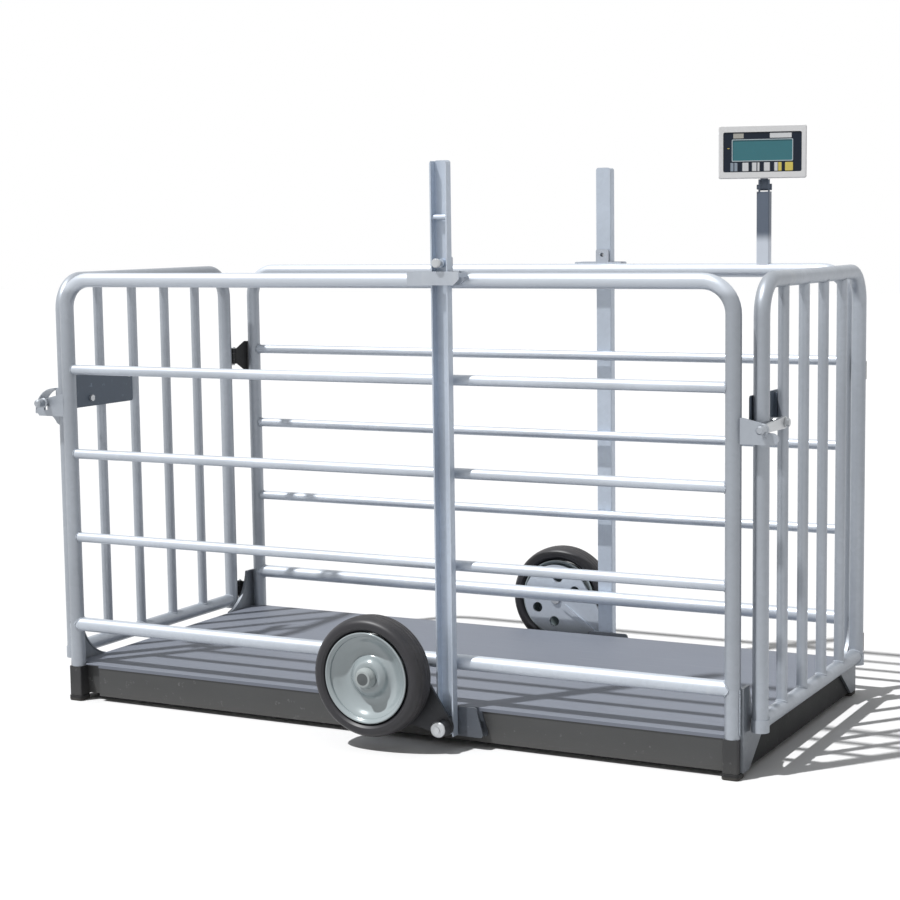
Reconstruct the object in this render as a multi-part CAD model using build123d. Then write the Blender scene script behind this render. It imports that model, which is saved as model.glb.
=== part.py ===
from build123d import *
from math import atan2, cos, degrees, hypot, radians, sin, sqrt
import os

os.makedirs("parts", exist_ok=True)

# Livestock weighing crate. Millimetres, +Z up, +X along the crate, origin on the ground
# under the middle of the overall length and width. Near side is -Y, far side is +Y.
# Everything is drawn about the middle of the cage and moved by END_SHIFT when saved,
# because the left latch's hood reaches further out than the right keeper.

# Cage frame
FRAME_L = 2000.0        # between post axes, along X
FRAME_W = 968.0         # between post axes, along Y
RAIL_Z = 1219.0         # top rail axis above the ground
TUBE_D = 40.0
TUBE_WALL = 2.5
BEND_R = 80.0           # centreline radius of the bent corners
BAR_D = 28.0
BAR_WALL = 2.0
SIDE_BARS = 3
SIDE_BAR_PITCH = 242.0
SIDE_BOTTOM_Z = 224.0   # axis of the lowest side rail

# Feet
PAD_W = 46.0
PAD_H = 15.0
BLOCK_W = 40.0
BLOCK_WALL = 3.0
BLOCK_TOP = 8.0
POST_SEAT_Z = 101.0     # top of the foot block, where the post tube stands
CELL_R = 12.0
SPIGOT_H = 16.0

# Base and floor
FLOOR_Z = 108.0
FLOOR_T = 4.0
FLOOR_LIP_H = 10.0
FLOOR_LIP_T = 2.5
CHANNEL_T = 4.0
CHANNEL_FLANGE = 45.0
END_FLANGE = 38.0       # flange of the end channels, inside the feet's width
CHANNEL_Z = 15.0        # underside of the base channels
CHANNEL_POCKET = 50.0   # recess between the side channel's left end and the foot
CROSS_W = 60.0
CROSS_PITCH = 400.0
CROSS_COUNT = 4

# Corner gussets
GUSSET_T = 8.0
GUSSET_LIFT = 1.0       # gusset's lower end above the pads
GUSSET_Z1 = 228.0
GUSSET_TOP_W = 45.0
GUSSET_REACH = 154.0
GUSSET_FOOT_W = 44.0
GUSSET_R = 140.0
GUSSET_FOLD_T = 4.0
GUSSET_FOLD_IN = 2.0

# Doors
DOOR_OFFSET = 54.0      # door plane beyond the post axes
STILE_NEAR_IN = 49.0    # latch stile axis inboard of the near post axis
HINGE_IN = 44.0         # hinge axis inboard of the far post axis
HINGE_TO_STILE = 45.0
DOOR_BEND_R = 85.0
DOOR_BARS = 4
DOOR_FOOT_Z = 114.0     # lower end of the stiles
DOOR_RAIL_Z = 137.0     # axis of the door's bottom rail
COLLAR_R = 22.5
COLLAR_H = 32.0

# Hinges
HINGE_TOP_Z = 941.0     # middle of the upper hinge
HINGE_LOW_Z = 168.0     # middle of the lower hinge
LEAF_H = 96.0
BARREL_R = 9.5
BARREL_H = 50.0
DOOR_KNUCKLE_H = 20.0
KNUCKLE_GAP = 0.6
PIN_R = 5.0
RUNNING_GAP = 0.05      # radial, shafts in their holes
LEAF_T = 4.0

# Door latches
LATCH_PIVOT_IN = 136.0  # latch pivot inboard of the near post axis
LATCH_Z = 870.0
BAR_T = 8.0
LATCH_BAR_H0 = 30.0     # bar height at the pivot
LATCH_BAR_H1 = 18.0     # bar height at its free end
LATCH_BAR_OFF = 24.0    # bar's inner face beyond the door plane
LATCH_END_DROP = 3.0
LATCH_OVER = 46.0       # free end beyond the near post axis
LATCH_BOLT_R = 6.0
SPACER_R = 12.0
PLATE_T = 5.0
PLATE_Z0 = 846.0
PLATE_Z1 = 942.0
PLATE_L_LEFT = 310.0
PLATE_L_RIGHT = 227.0
KEEPER_T = 6.0
KEEPER_BITE = 12.5      # depth of the keeper's notch
KEEPER_REACH = 62.0     # keeper's tip beyond the door plane
HOOD_R = 70.0
HOOD_W = 43.0
HOOD_T = 3.0
GRIP_R = 10.0
GRIP_L = 36.0

# Lift levers
PIVOT_X = 238.0
PIVOT_Z = 66.0
PIVOT_R = 20.0
PIVOT_BORE_R = 16.0
LEVER_W = 48.0
LEVER_DEPTH = 28.0
LEVER_T = 4.0
LEVER_TOP_Z = 1524.0
LEVER_SHIFT = -3.0      # lever axis beside the pivot axis
LEVER_CLEAR = 11.0      # lever web outboard of the side tubes
CROSS_GRIP_Z = 1381.0
PIVOT_TUBE_L = 72.0
LEVER_FOOT = 28.0       # lever's foot below the pivot axis
ARM_T = 8.0
ARM_R_AXLE = 108.0
ARM_R_PIVOT = 25.0
CATCH_T = 8.0
CATCH_LEFT = 89.0
CATCH_RIGHT = 60.0
CATCH_LOW = 10.0        # catch below the top rail's axis
CATCH_HIGH = 25.0       # catch above the top rail's axis
STRAP_T = 5.0
STRAP_GAP = 3.0         # lever to the strap in front of it
LOCK_PIN_R = 6.0
LOCK_RISE = 21.0        # lock pin above the catch's strap
LOCK_TRAVEL = 7.5
LOCK_TIP_GAP = 1.5
BRACKET_T = 6.0
BRACKET_Z0 = 34.0
BRACKET_Z1 = 113.0

# Wheels
AXLE_X = 55.0
AXLE_Z = 195.0
AXLE_R = 10.0
TYRE_R = 160.0
TYRE_W = 86.0
RIM_R = 120.0
RIM_T = 3.0
HUB_R = 24.0
PRESS_STEPS = 3         # flats in each bend of the pressed disc
WALL_STEPS = 7          # flats across each tyre wall
TYRE_GAP = 6.0          # tyre side to the crank arm

# Weight indicator
IND_IN = 252.0          # post axis inboard of the right posts
IND_POST_W = 38.0
IND_POST_D = 26.0
IND_POST_WALL = 2.5
IND_POST_TOP = 1436.0
IND_TILT_Z = 1456.0
IND_W = 248.0
IND_TURN = 16.0         # head turned about its post, towards the right-hand end
IND_H = 150.0
IND_Z0 = 1480.0
IND_BEZEL_D = 20.0
IND_BOX_D = 50.0
IND_FRONT = 25.0        # bezel's front face ahead of the post axis
IND_WALL = 3.0
KEY_TRAVEL = 1.2
KEY_GAP = 0.4

HX = FRAME_L / 2
IND_X = HX - IND_IN                 # indicator post along X
HY = FRAME_W / 2
TR = TUBE_D / 2
BR = BAR_D / 2
OUT_X = HX + TR                     # outer face of the posts and feet along X
OUT_Y = HY + TR                     # outer face of the side tubes along Y
DOOR_X = HX + DOOR_OFFSET
HINGE_Y = HY - HINGE_IN
STILE_FAR_Y = HINGE_Y - HINGE_TO_STILE
STILE_NEAR_Y = -HY + STILE_NEAR_IN
END_SHIFT = (TR + HOOD_R - KEEPER_REACH) / 2


def rod(p, q, r):
    a = Vector(*p)
    b = Vector(*q)
    return Solid.make_cylinder(r, (b - a).length, Plane(origin=a, z_dir=b - a))


def pipe(p, q, r, wall):
    return rod(p, q, r) - rod(p, q, r - wall)


def bent(points, r, wall, bend):
    path = FilletPolyline(*points, radius=bend)
    start = Plane(origin=path @ 0, z_dir=path % 0)
    section = Circle(r) - Circle(r - wall) if wall else Circle(r)
    return sweep(start * section, path=path)


def block(x0, x1, y0, y1, z0, z1):
    box = Solid.make_box(x1 - x0, y1 - y0, z1 - z0)
    return box.moved(Location((x0, y0, z0)))


def outline(points, radius=0.0, corners=None):
    shape = make_face(Polyline(*points, close=True))
    if radius:
        pick = shape.vertices()
        if corners is not None:
            pick = [min(shape.vertices(), key=lambda v, c=c: hypot(v.X - c[0], v.Y - c[1])) for c in corners]
        shape = fillet(pick, radius)
    return shape


def on_xz(shape, y0, y1):
    # sketch x is world X, sketch y is world Z, filled from y0 to y1
    plane = Plane(origin=(0, y1, 0), x_dir=(1, 0, 0), z_dir=(0, -1, 0))
    return extrude(plane * shape, amount=y1 - y0)


def on_yz(shape, x0, x1):
    # sketch x is world Y, sketch y is world Z, filled from x0 to x1
    plane = Plane(origin=(x0, 0, 0), x_dir=(0, 1, 0), z_dir=(1, 0, 0))
    return extrude(plane * shape, amount=x1 - x0)


def on_xy(shape, z0, z1):
    return extrude(Plane.XY.offset(z0) * shape, amount=z1 - z0)


def flip_x(shape):
    return mirror(shape, about=Plane.YZ)


def flip_y(shape):
    return mirror(shape, about=Plane.XZ)


def save(name, *shapes):
    solids = []
    for shape in shapes:
        solids.extend(s.moved(Location((END_SHIFT, 0, 0))) for s in shape.solids())
    keep = solids[0] if len(solids) == 1 else Compound(solids)
    export_step(keep, "parts/" + name + ".step")


# Side panels: one bent tube for two posts and the top rail, with coped straight tubes between


def side_path(y, foot):
    return [(-HX, y, foot), (-HX, y, RAIL_Z), (HX, y, RAIL_Z), (HX, y, foot)]


side_frame = bent(side_path(-HY, POST_SEAT_Z), TR, TUBE_WALL, BEND_R)
side_core = bent(side_path(-HY, POST_SEAT_Z), TR, 0, BEND_R)
side_mid_z = (RAIL_Z + SIDE_BOTTOM_Z) / 2
side_bar_zs = [side_mid_z + SIDE_BAR_PITCH * (i - (SIDE_BARS - 1) / 2) for i in range(SIDE_BARS)]
side_tubes = [pipe((-HX, -HY, z), (HX, -HY, z), BR, BAR_WALL) - side_core for z in side_bar_zs]
side_bottom = pipe((-HX, -HY, SIDE_BOTTOM_Z), (HX, -HY, SIDE_BOTTOM_Z), TR, TUBE_WALL) - side_core
save("side_frame_near", side_frame)
save("side_frame_far", flip_y(side_frame))
save("side_rails_near", *side_tubes, side_bottom)
save("side_rails_far", *[flip_y(t) for t in side_tubes], flip_y(side_bottom))

# Feet: rubber pads, cells that carry the load, and square blocks under the posts

corners = [(sx, sy) for sx in (-1, 1) for sy in (-1, 1)]
block_z0 = PAD_H + 1.0
cell_z0 = PAD_H + SPIGOT_H
cell_z1 = POST_SEAT_Z - BLOCK_TOP
spigot_w = BLOCK_W - 2 * BLOCK_WALL - 1.0
shell = RectangleRounded(BLOCK_W, BLOCK_W, 4) - RectangleRounded(BLOCK_W - 2 * BLOCK_WALL, BLOCK_W - 2 * BLOCK_WALL, 1)
foot_block = on_xy(shell, block_z0, cell_z1) + on_xy(RectangleRounded(BLOCK_W, BLOCK_W, 4), cell_z1, POST_SEAT_Z)
pad_body = on_xy(RectangleRounded(PAD_W, PAD_W, 9), 0, PAD_H)
pad_body = fillet(pad_body.edges().group_by(Axis.Z)[0], 4.0)
pad_body = fillet(pad_body.edges().group_by(Axis.Z)[-1], 1.5)
pad = pad_body + on_xy(RectangleRounded(spigot_w, spigot_w, 3), PAD_H, cell_z0)
neck = CELL_R * 0.6
cell_mid = (cell_z0 + cell_z1) / 2
cell_profile = outline([
    (0, cell_z0), (CELL_R, cell_z0), (CELL_R, cell_z0 + 8), (neck, cell_z0 + 13), (neck, cell_mid - 8),
    (CELL_R - 2, cell_mid - 5), (CELL_R - 2, cell_mid + 5), (neck, cell_mid + 8), (neck, cell_z1 - 13),
    (CELL_R, cell_z1 - 8), (CELL_R, cell_z1), (0, cell_z1)])
cell = revolve(Plane.XZ * cell_profile, axis=Axis.Z)
save("foot_blocks", *[foot_block.moved(Location((sx * HX, sy * HY, 0))) for sx, sy in corners])
save("foot_pads", *[pad.moved(Location((sx * HX, sy * HY, 0))) for sx, sy in corners])
save("load_cells", *[cell.moved(Location((sx * HX, sy * HY, 0))) for sx, sy in corners])

# Base: folded side channels, end channels, hat-section cross members and the floor plate

foot_in_x = HX - BLOCK_W / 2
foot_in_y = HY - BLOCK_W / 2
chan_y = HY - FLOOR_LIP_T
chan_z1 = FLOOR_Z - FLOOR_T
chan_top = chan_z1 - CHANNEL_Z


def c_section(height, flange, t):
    # open to +x, outer face on x = 0, from z = 0
    return outline([
        (0, 0), (flange, 0), (flange, 12), (flange - t, 12), (flange - t, t), (t, t),
        (t, height - t), (flange - t, height - t), (flange - t, height - 12), (flange, height - 12),
        (flange, height), (0, height)], t * 0.45)


section = c_section(chan_top, CHANNEL_FLANGE, CHANNEL_T)
side_channel = on_yz(section.moved(Location((-chan_y, CHANNEL_Z, 0))), -foot_in_x + CHANNEL_POCKET, foot_in_x)
tongue_y = -chan_y + 14.0
tongue = on_yz(outline([
    (tongue_y, CHANNEL_Z + CHANNEL_T), (tongue_y + CHANNEL_T, CHANNEL_Z + CHANNEL_T),
    (tongue_y + CHANNEL_T, chan_z1 - CHANNEL_T), (tongue_y, chan_z1 - CHANNEL_T)]),
    -foot_in_x, -foot_in_x + CHANNEL_POCKET + 40.0)
side_channel = side_channel + tongue
save("base_side_channels", side_channel, flip_y(side_channel))

end_section = c_section(chan_top, END_FLANGE, CHANNEL_T)
end_channel = on_xz(end_section.moved(Location((-OUT_X, CHANNEL_Z, 0))), -foot_in_y, foot_in_y)
save("base_end_channels", end_channel, flip_x(end_channel))

hat_h = chan_top - 2 * CHANNEL_T - 20.0
hat_t = CHANNEL_T
half = CROSS_W / 2
hat = outline([
    (-half - 20, 0), (-half, 0), (-half + 8, hat_h - hat_t), (half - 8, hat_h - hat_t), (half, 0), (half + 20, 0),
    (half + 20, hat_t), (half + 3, hat_t), (half - 5, hat_h), (-half + 5, hat_h), (-half - 3, hat_t),
    (-half - 20, hat_t)])
hat = hat.mirror(Plane.XZ)
cross_y = chan_y - CHANNEL_T
crosses = []
for i in range(CROSS_COUNT):
    x = CROSS_PITCH * (i - (CROSS_COUNT - 1) / 2)
    member = on_xz(hat.moved(Location((x, chan_z1, 0))), -cross_y, cross_y)
    for s in (-1, 1):
        slot = block(x - CROSS_W, x + CROSS_W, cross_y - CHANNEL_FLANGE, cross_y + 1, chan_z1 - 13, chan_z1 + 1)
        member = member - (slot if s > 0 else flip_y(slot))
    crosses.append(member)
save("base_cross_members", *crosses)

notch_x = HX - TR - 2.0
notch_y = HY - TR - 2.0
plate_x = OUT_X - GUSSET_FOLD_IN - 1.0
floor_outline = outline([
    (-plate_x, -notch_y), (-notch_x, -notch_y), (-notch_x, -HY), (notch_x, -HY), (notch_x, -notch_y),
    (plate_x, -notch_y), (plate_x, notch_y), (notch_x, notch_y), (notch_x, HY), (-notch_x, HY),
    (-notch_x, notch_y), (-plate_x, notch_y)])
floor_plate = on_xy(floor_outline, FLOOR_Z - FLOOR_T, FLOOR_Z)
lip_x0 = -foot_in_x + CHANNEL_POCKET
lip = block(lip_x0, notch_x, -HY, -HY + FLOOR_LIP_T, FLOOR_Z - FLOOR_LIP_H, FLOOR_Z - FLOOR_T / 2)
floor_plate = floor_plate + lip + flip_y(lip)
long_edges = [e for e in floor_plate.edges().filter_by(Axis.X) if e.length > FRAME_L / 2 and e.center().Z > FLOOR_Z - 0.01]
floor_plate = fillet(long_edges, min(FLOOR_LIP_T, FLOOR_T) * 0.6)
save("floor_plate", floor_plate)

# Corner gussets: plate with a concave flare and a fold along the curve

chord = hypot(GUSSET_REACH - GUSSET_TOP_W, GUSSET_Z1 - FLOOR_Z)
sag = sqrt(GUSSET_R ** 2 - (chord / 2) ** 2)
ux = (GUSSET_Z1 - FLOOR_Z) / chord
uz = (GUSSET_REACH - GUSSET_TOP_W) / chord
arc_t = (GUSSET_TOP_W + GUSSET_REACH) / 2 + ux * sag
arc_z = (GUSSET_Z1 + FLOOR_Z) / 2 + uz * sag
gus_z0 = PAD_H + GUSSET_LIFT
gus_poly = outline([
    (0, gus_z0), (0, GUSSET_Z1), (GUSSET_REACH, GUSSET_Z1), (GUSSET_REACH, FLOOR_Z - 10.0),
    (GUSSET_FOOT_W, gus_z0)])
gus_hole = Circle(GUSSET_R).moved(Location((arc_t, arc_z, 0)))
gus_band = Circle(GUSSET_R + GUSSET_FOLD_T).moved(Location((arc_t, arc_z, 0))) - gus_hole
gus_face = gus_poly - gus_hole
above = outline([(0, FLOOR_Z), (GUSSET_REACH, FLOOR_Z), (GUSSET_REACH, GUSSET_Z1), (0, GUSSET_Z1)])
gus_inner = gus_poly & gus_band & above
gus_place = Location((-HY, 0, 0))
gusset = on_yz(gus_face.moved(gus_place), OUT_X, OUT_X + GUSSET_T)
gusset = gusset + on_yz(gus_inner.moved(gus_place), OUT_X - GUSSET_FOLD_IN, OUT_X + GUSSET_T)
save("corner_gussets", gusset, flip_x(gusset), flip_y(gusset), flip_x(flip_y(gusset)))

# Doors, drawn at the left end and mirrored for the right end

DX = -DOOR_X
door_path = [(DX, STILE_NEAR_Y, DOOR_FOOT_Z), (DX, STILE_NEAR_Y, RAIL_Z), (DX, STILE_FAR_Y, RAIL_Z),
             (DX, STILE_FAR_Y, DOOR_FOOT_Z)]
door_tube = bent(door_path, TR, TUBE_WALL, DOOR_BEND_R)
door_core = bent(door_path, TR, 0, DOOR_BEND_R)
collars = []
for y in (STILE_NEAR_Y, STILE_FAR_Y):
    ring = pipe((DX, y, DOOR_FOOT_Z - 2), (DX, y, DOOR_FOOT_Z - 2 + COLLAR_H), COLLAR_R, COLLAR_R - TR)
    end = rod((DX, y, DOOR_FOOT_Z - 2), (DX, y, DOOR_FOOT_Z), TR)
    collars.append(ring + end)
door_frame = door_tube + collars[0] + collars[1]
collar_core = [rod((DX, y, DOOR_FOOT_Z - 2), (DX, y, DOOR_FOOT_Z - 2 + COLLAR_H), COLLAR_R)
               for y in (STILE_NEAR_Y, STILE_FAR_Y)]
door_rail = pipe((DX, STILE_NEAR_Y, DOOR_RAIL_Z), (DX, STILE_FAR_Y, DOOR_RAIL_Z), TR, TUBE_WALL)
door_rail = door_rail - door_core - collar_core[0] - collar_core[1]
rail_core = rod((DX, STILE_NEAR_Y, DOOR_RAIL_Z), (DX, STILE_FAR_Y, DOOR_RAIL_Z), TR)
door_pitch = (STILE_FAR_Y - STILE_NEAR_Y) / (DOOR_BARS + 1)
door_bar_ys = [STILE_NEAR_Y + door_pitch * (i + 1) for i in range(DOOR_BARS)]
door_bars = [pipe((DX, y, DOOR_RAIL_Z), (DX, y, RAIL_Z), BR, BAR_WALL) - door_core - rail_core for y in door_bar_ys]
save("door_frame_left", door_frame)
save("door_frame_right", flip_x(door_frame))
save("door_bars_left", *door_bars, door_rail)
save("door_bars_right", *[flip_x(b) for b in door_bars], flip_x(door_rail))

# Hinges: butterfly leaves with three knuckles above, lugs on the gusset below

post_c = Vector(-HX, HY, 0)
hinge_c = Vector(DX, HINGE_Y, 0)
to_post = post_c - hinge_c
gap = to_post.length
wrap_r = TR + LEAF_T
# tangent strap from the barrel's axis to the middle of the wrap on the post's outer side
lean = degrees(atan2(to_post.Y, to_post.X)) + degrees(atan2(wrap_r - LEAF_T / 2, sqrt(gap ** 2 - (wrap_r - LEAF_T / 2) ** 2)))
strap_l = sqrt(gap ** 2 - (wrap_r - LEAF_T / 2) ** 2)


def butterfly(z, width, inner):
    # tall at the outer end, narrow at the barrel, with concave edges
    high = LEAF_H / 2
    low = BARREL_H / 2
    r = (high - low) * 1.6
    body = outline([(0, -high), (width, -high), (width, high), (0, high)])
    for s in (-1, 1):
        bite = outline([(-1, s * low), (inner, s * low), (inner + (width - inner) * 0.55, s * (high + 1)), (-1, s * (high + 1))])
        body = body - bite
    return body.moved(Location((0, z, 0)))


def post_leaf_upper(z):
    strap = block(0, strap_l, -LEAF_T / 2, LEAF_T / 2, z - LEAF_H / 2, z + LEAF_H / 2)
    shape = Plane(origin=(0, LEAF_T, 0), x_dir=(1, 0, 0), z_dir=(0, -1, 0)) * butterfly(z, strap_l, BARREL_R + 2)
    strap = strap & extrude(shape, amount=2 * LEAF_T)
    strap = strap.moved(Location((hinge_c.X, hinge_c.Y, 0), (0, 0, lean)))
    wrap = pipe((-HX, HY, z - LEAF_H / 2), (-HX, HY, z + LEAF_H / 2), wrap_r, LEAF_T)
    cut = block(-HX, -HX + 60, HY - 60, HY + 60, z - LEAF_H, z + LEAF_H)
    cut = cut + block(-HX - 60, -HX, HY - 60, HY - 8, z - LEAF_H, z + LEAF_H)
    return strap + (wrap - cut)


def knuckled(leaf, z, door_side):
    barrel = rod((hinge_c.X, hinge_c.Y, z - BARREL_H / 2), (hinge_c.X, hinge_c.Y, z + BARREL_H / 2), BARREL_R)
    middle = DOOR_KNUCKLE_H / 2
    around = BARREL_R + 1.5
    if door_side:
        keep_z = middle - KNUCKLE_GAP
        barrel = rod((hinge_c.X, hinge_c.Y, z - keep_z), (hinge_c.X, hinge_c.Y, z + keep_z), BARREL_R)
        clear = rod((hinge_c.X, hinge_c.Y, z - LEAF_H), (hinge_c.X, hinge_c.Y, z - keep_z), around)
        clear = clear + rod((hinge_c.X, hinge_c.Y, z + keep_z), (hinge_c.X, hinge_c.Y, z + LEAF_H), around)
    else:
        clear = rod((hinge_c.X, hinge_c.Y, z - middle), (hinge_c.X, hinge_c.Y, z + middle), around)
        barrel = barrel - rod((hinge_c.X, hinge_c.Y, z - middle), (hinge_c.X, hinge_c.Y, z + middle), BARREL_R + 1)
    hole_r = PIN_R + RUNNING_GAP
    hole = rod((hinge_c.X, hinge_c.Y, z - LEAF_H), (hinge_c.X, hinge_c.Y, z + LEAF_H), hole_r)
    return ((leaf - clear) + barrel) - hole


def door_leaf(z):
    width = HINGE_TO_STILE - TR + 3.0
    shape = butterfly(z, width, BARREL_R + 2)
    leaf = extrude(Plane(origin=(LEAF_T / 2, 0, 0), x_dir=(0, -1, 0), z_dir=(-1, 0, 0)) * shape, amount=LEAF_T)
    leaf = leaf.moved(Location((hinge_c.X, hinge_c.Y, 0)))
    return leaf - door_core - collar_core[1]


def gusset_lug(z):
    lug = block(hinge_c.X, -OUT_X - GUSSET_T, HINGE_Y - LEAF_T / 2, HINGE_Y + LEAF_T / 2, z - BARREL_H / 2, z + BARREL_H / 2)
    foot = block(-OUT_X - GUSSET_T - 4, -OUT_X - GUSSET_T, HINGE_Y - 10, HINGE_Y + 24, z - BARREL_H / 2, z + BARREL_H / 2)
    return lug + foot


pins = []
for z in (HINGE_TOP_Z, HINGE_LOW_Z):
    top = z + BARREL_H / 2
    low = z - BARREL_H / 2
    profile = outline([
        (0, low - 5), (PIN_R, low - 5), (PIN_R, top), (PIN_R + 3, top), (PIN_R + 3, top + 3), (PIN_R + 1, top + 5), (0, top + 5)])
    pins.append(revolve(Plane.XZ * profile, axis=Axis.Z).moved(Location((hinge_c.X, hinge_c.Y, 0))))

post_leaves = [knuckled(post_leaf_upper(HINGE_TOP_Z), HINGE_TOP_Z, False),
               knuckled(gusset_lug(HINGE_LOW_Z), HINGE_LOW_Z, False)]
door_leaves = [knuckled(door_leaf(z), z, True) for z in (HINGE_TOP_Z, HINGE_LOW_Z)]
save("hinge_post_leaves", *post_leaves, *[flip_x(s) for s in post_leaves])
save("hinge_pins", *pins, *[flip_x(s) for s in pins])
save("hinge_door_leaves_left", *door_leaves)
save("hinge_door_leaves_right", *[flip_x(s) for s in door_leaves])

# Door latches: backing plate, pivot bolt with spacer, pivoting bar with grip, notched keeper

pivot_y = -HY + LATCH_PIVOT_IN
plate_y0 = STILE_NEAR_Y - TR
end_y = -HY - LATCH_OVER
end_z = LATCH_Z - LATCH_END_DROP
bar_low = end_z - LATCH_BAR_H1 / 2
bar_x0 = DX - LATCH_BAR_OFF - BAR_T
bar_x1 = DX - LATCH_BAR_OFF
bar_in = TR + PLATE_T           # plate's inner face inboard of the door plane


def backing_plate(length):
    face = outline([(plate_y0, PLATE_Z0), (plate_y0 + length, PLATE_Z0), (plate_y0 + length, PLATE_Z1), (plate_y0, PLATE_Z1)], 8.0)
    face = face - Circle(LATCH_BOLT_R + RUNNING_GAP).moved(Location((pivot_y, LATCH_Z, 0)))
    for y in (plate_y0 + 24.0, plate_y0 + length - 16.0):
        face = face - Circle(4.5).moved(Location((y, PLATE_Z1 - 14.0, 0)))
    plate = on_yz(face, DX + TR, DX + bar_in)
    for y in door_bar_ys:
        if y + BR < plate_y0 + length:
            packer = block(DX + BR - 1, DX + TR, y - 9, y + 9, PLATE_Z0 + 6, PLATE_Z1 - 6)
            plate = plate + (packer - rod((DX, y, PLATE_Z0 - 9), (DX, y, PLATE_Z1 + 9), BR))
    return plate


def pivot_bolt():
    x_head = DX + bar_in
    head = extrude(Plane(origin=(x_head, pivot_y, LATCH_Z), z_dir=(1, 0, 0)) * RegularPolygon(10, 6), amount=7)
    shank = rod((x_head, pivot_y, LATCH_Z), (bar_x0 - 12, pivot_y, LATCH_Z), LATCH_BOLT_R)
    spacer = rod((DX + TR, pivot_y, LATCH_Z), (bar_x1 + 0.6, pivot_y, LATCH_Z), SPACER_R)
    washer = rod((bar_x0 - 0.6, pivot_y, LATCH_Z), (bar_x0 - 2.6, pivot_y, LATCH_Z), SPACER_R)
    nut = extrude(Plane(origin=(bar_x0 - 2.6, pivot_y, LATCH_Z), z_dir=(-1, 0, 0)) * RegularPolygon(10, 6), amount=8)
    bolt = head + shank + spacer + washer + nut
    return chamfer(bolt.edges().filter_by(GeomType.CIRCLE).sort_by(Axis.X)[0], 1.0)


def latch_bar():
    r0 = LATCH_BAR_H0 / 2
    r1 = LATCH_BAR_H1 / 2
    face = outline([(pivot_y, LATCH_Z - r0), (pivot_y, LATCH_Z + r0), (end_y + r1, end_z + r1), (end_y + r1, end_z - r1)])
    face = face + Circle(r0).moved(Location((pivot_y, LATCH_Z, 0))) + Circle(r1).moved(Location((end_y + r1, end_z, 0)))
    face = face - Circle(LATCH_BOLT_R + RUNNING_GAP).moved(Location((pivot_y, LATCH_Z, 0)))
    return on_yz(face, bar_x0, bar_x1)


def latch_grip():
    y0 = -HY - KEEPER_T - 8.0
    y1 = y0 - GRIP_L
    mid_x = (bar_x0 + bar_x1) / 2
    profile = outline([
        (0, y0), (GRIP_R + 3, y0), (GRIP_R + 4, y0 - 4), (GRIP_R + 1, y0 - 8), (GRIP_R + 2.5, (y0 + y1) / 2),
        (GRIP_R + 1, y1 + 5), (GRIP_R - 3, y1), (0, y1)])
    grip = revolve(profile, axis=Axis.Y).moved(Location((mid_x, 0, end_z)))
    return grip - latch_bar()


def keeper():
    tip = DX - KEEPER_REACH
    in_x = DX - LATCH_BAR_OFF + 2.0
    out_x = bar_x0 - 2.0
    tooth = bar_low - 0.4
    floor_z = tooth - KEEPER_BITE
    foot_z = floor_z - 17.0
    face = outline([
        (-OUT_X + 4, foot_z), (tip + 10, foot_z), (tip, foot_z + 12), (tip, tooth), (out_x, tooth), (out_x, floor_z),
        (in_x, floor_z), (in_x, bar_low + 22), (-OUT_X - 6, bar_low + 34), (-OUT_X + 4, bar_low + 34)])
    lead = hypot(tooth - foot_z - 12, 0)
    wedge = outline([(tip - 1, tooth + 1), (tip - 1, tooth - lead), (tip, tooth - lead), (tip + lead, tooth), (tip + lead, tooth + 1)])
    wedge = wedge - Circle(lead).moved(Location((tip + lead, tooth - lead, 0)))
    face = face - wedge
    plate = on_xz(face, -HY - KEEPER_T - 2, -HY - 2)
    return plate - rod((-HX, -HY, foot_z - 5), (-HX, -HY, bar_low + 60), TR)


def latch_hood():
    y0 = STILE_NEAR_Y - 27.0
    y1 = y0 + HOOD_W
    cx = DX - TR
    cz = bar_low - 22.0
    ring = Circle(HOOD_R) - Circle(HOOD_R - HOOD_T)
    quarter = outline([(-HOOD_R - 2, 0), (0, 0), (0, HOOD_R + 2), (-HOOD_R - 2, HOOD_R + 2)])
    shell_face = (ring & quarter).moved(Location((cx, cz, 0)))
    hood = on_xz(shell_face, y0, y1)
    shelf_x = cx - HOOD_R
    hood = hood + block(shelf_x, cx + TR, y0, y1, cz - 5, cz)
    back = outline([(cx, cz - 38), (cx, cz - 4), (shelf_x + 6, cz - 4)])
    bow = Circle(58).moved(Location((cx - 60, cz - 60, 0)))
    web = on_xz(back - bow, (y0 + y1) / 2 - 2, (y0 + y1) / 2 + 2)
    strap = block(cx, cx + TR, y0 + 8, y1 - 8, cz + HOOD_R - 30, cz + HOOD_R)
    return (hood + web + strap) - door_core


save("latch_plate_left", backing_plate(PLATE_L_LEFT))
save("latch_plate_right", flip_x(backing_plate(PLATE_L_RIGHT)))
save("latch_bolt_left", pivot_bolt())
save("latch_bolt_right", flip_x(pivot_bolt()))
save("latch_bar_left", latch_bar())
save("latch_bar_right", flip_x(latch_bar()))
save("latch_grip_left", latch_grip())
save("latch_grip_right", flip_x(latch_grip()))
save("latch_keepers", keeper(), flip_x(keeper()))
save("latch_hood_left", latch_hood())

# Lift levers, drawn on the near side

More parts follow.
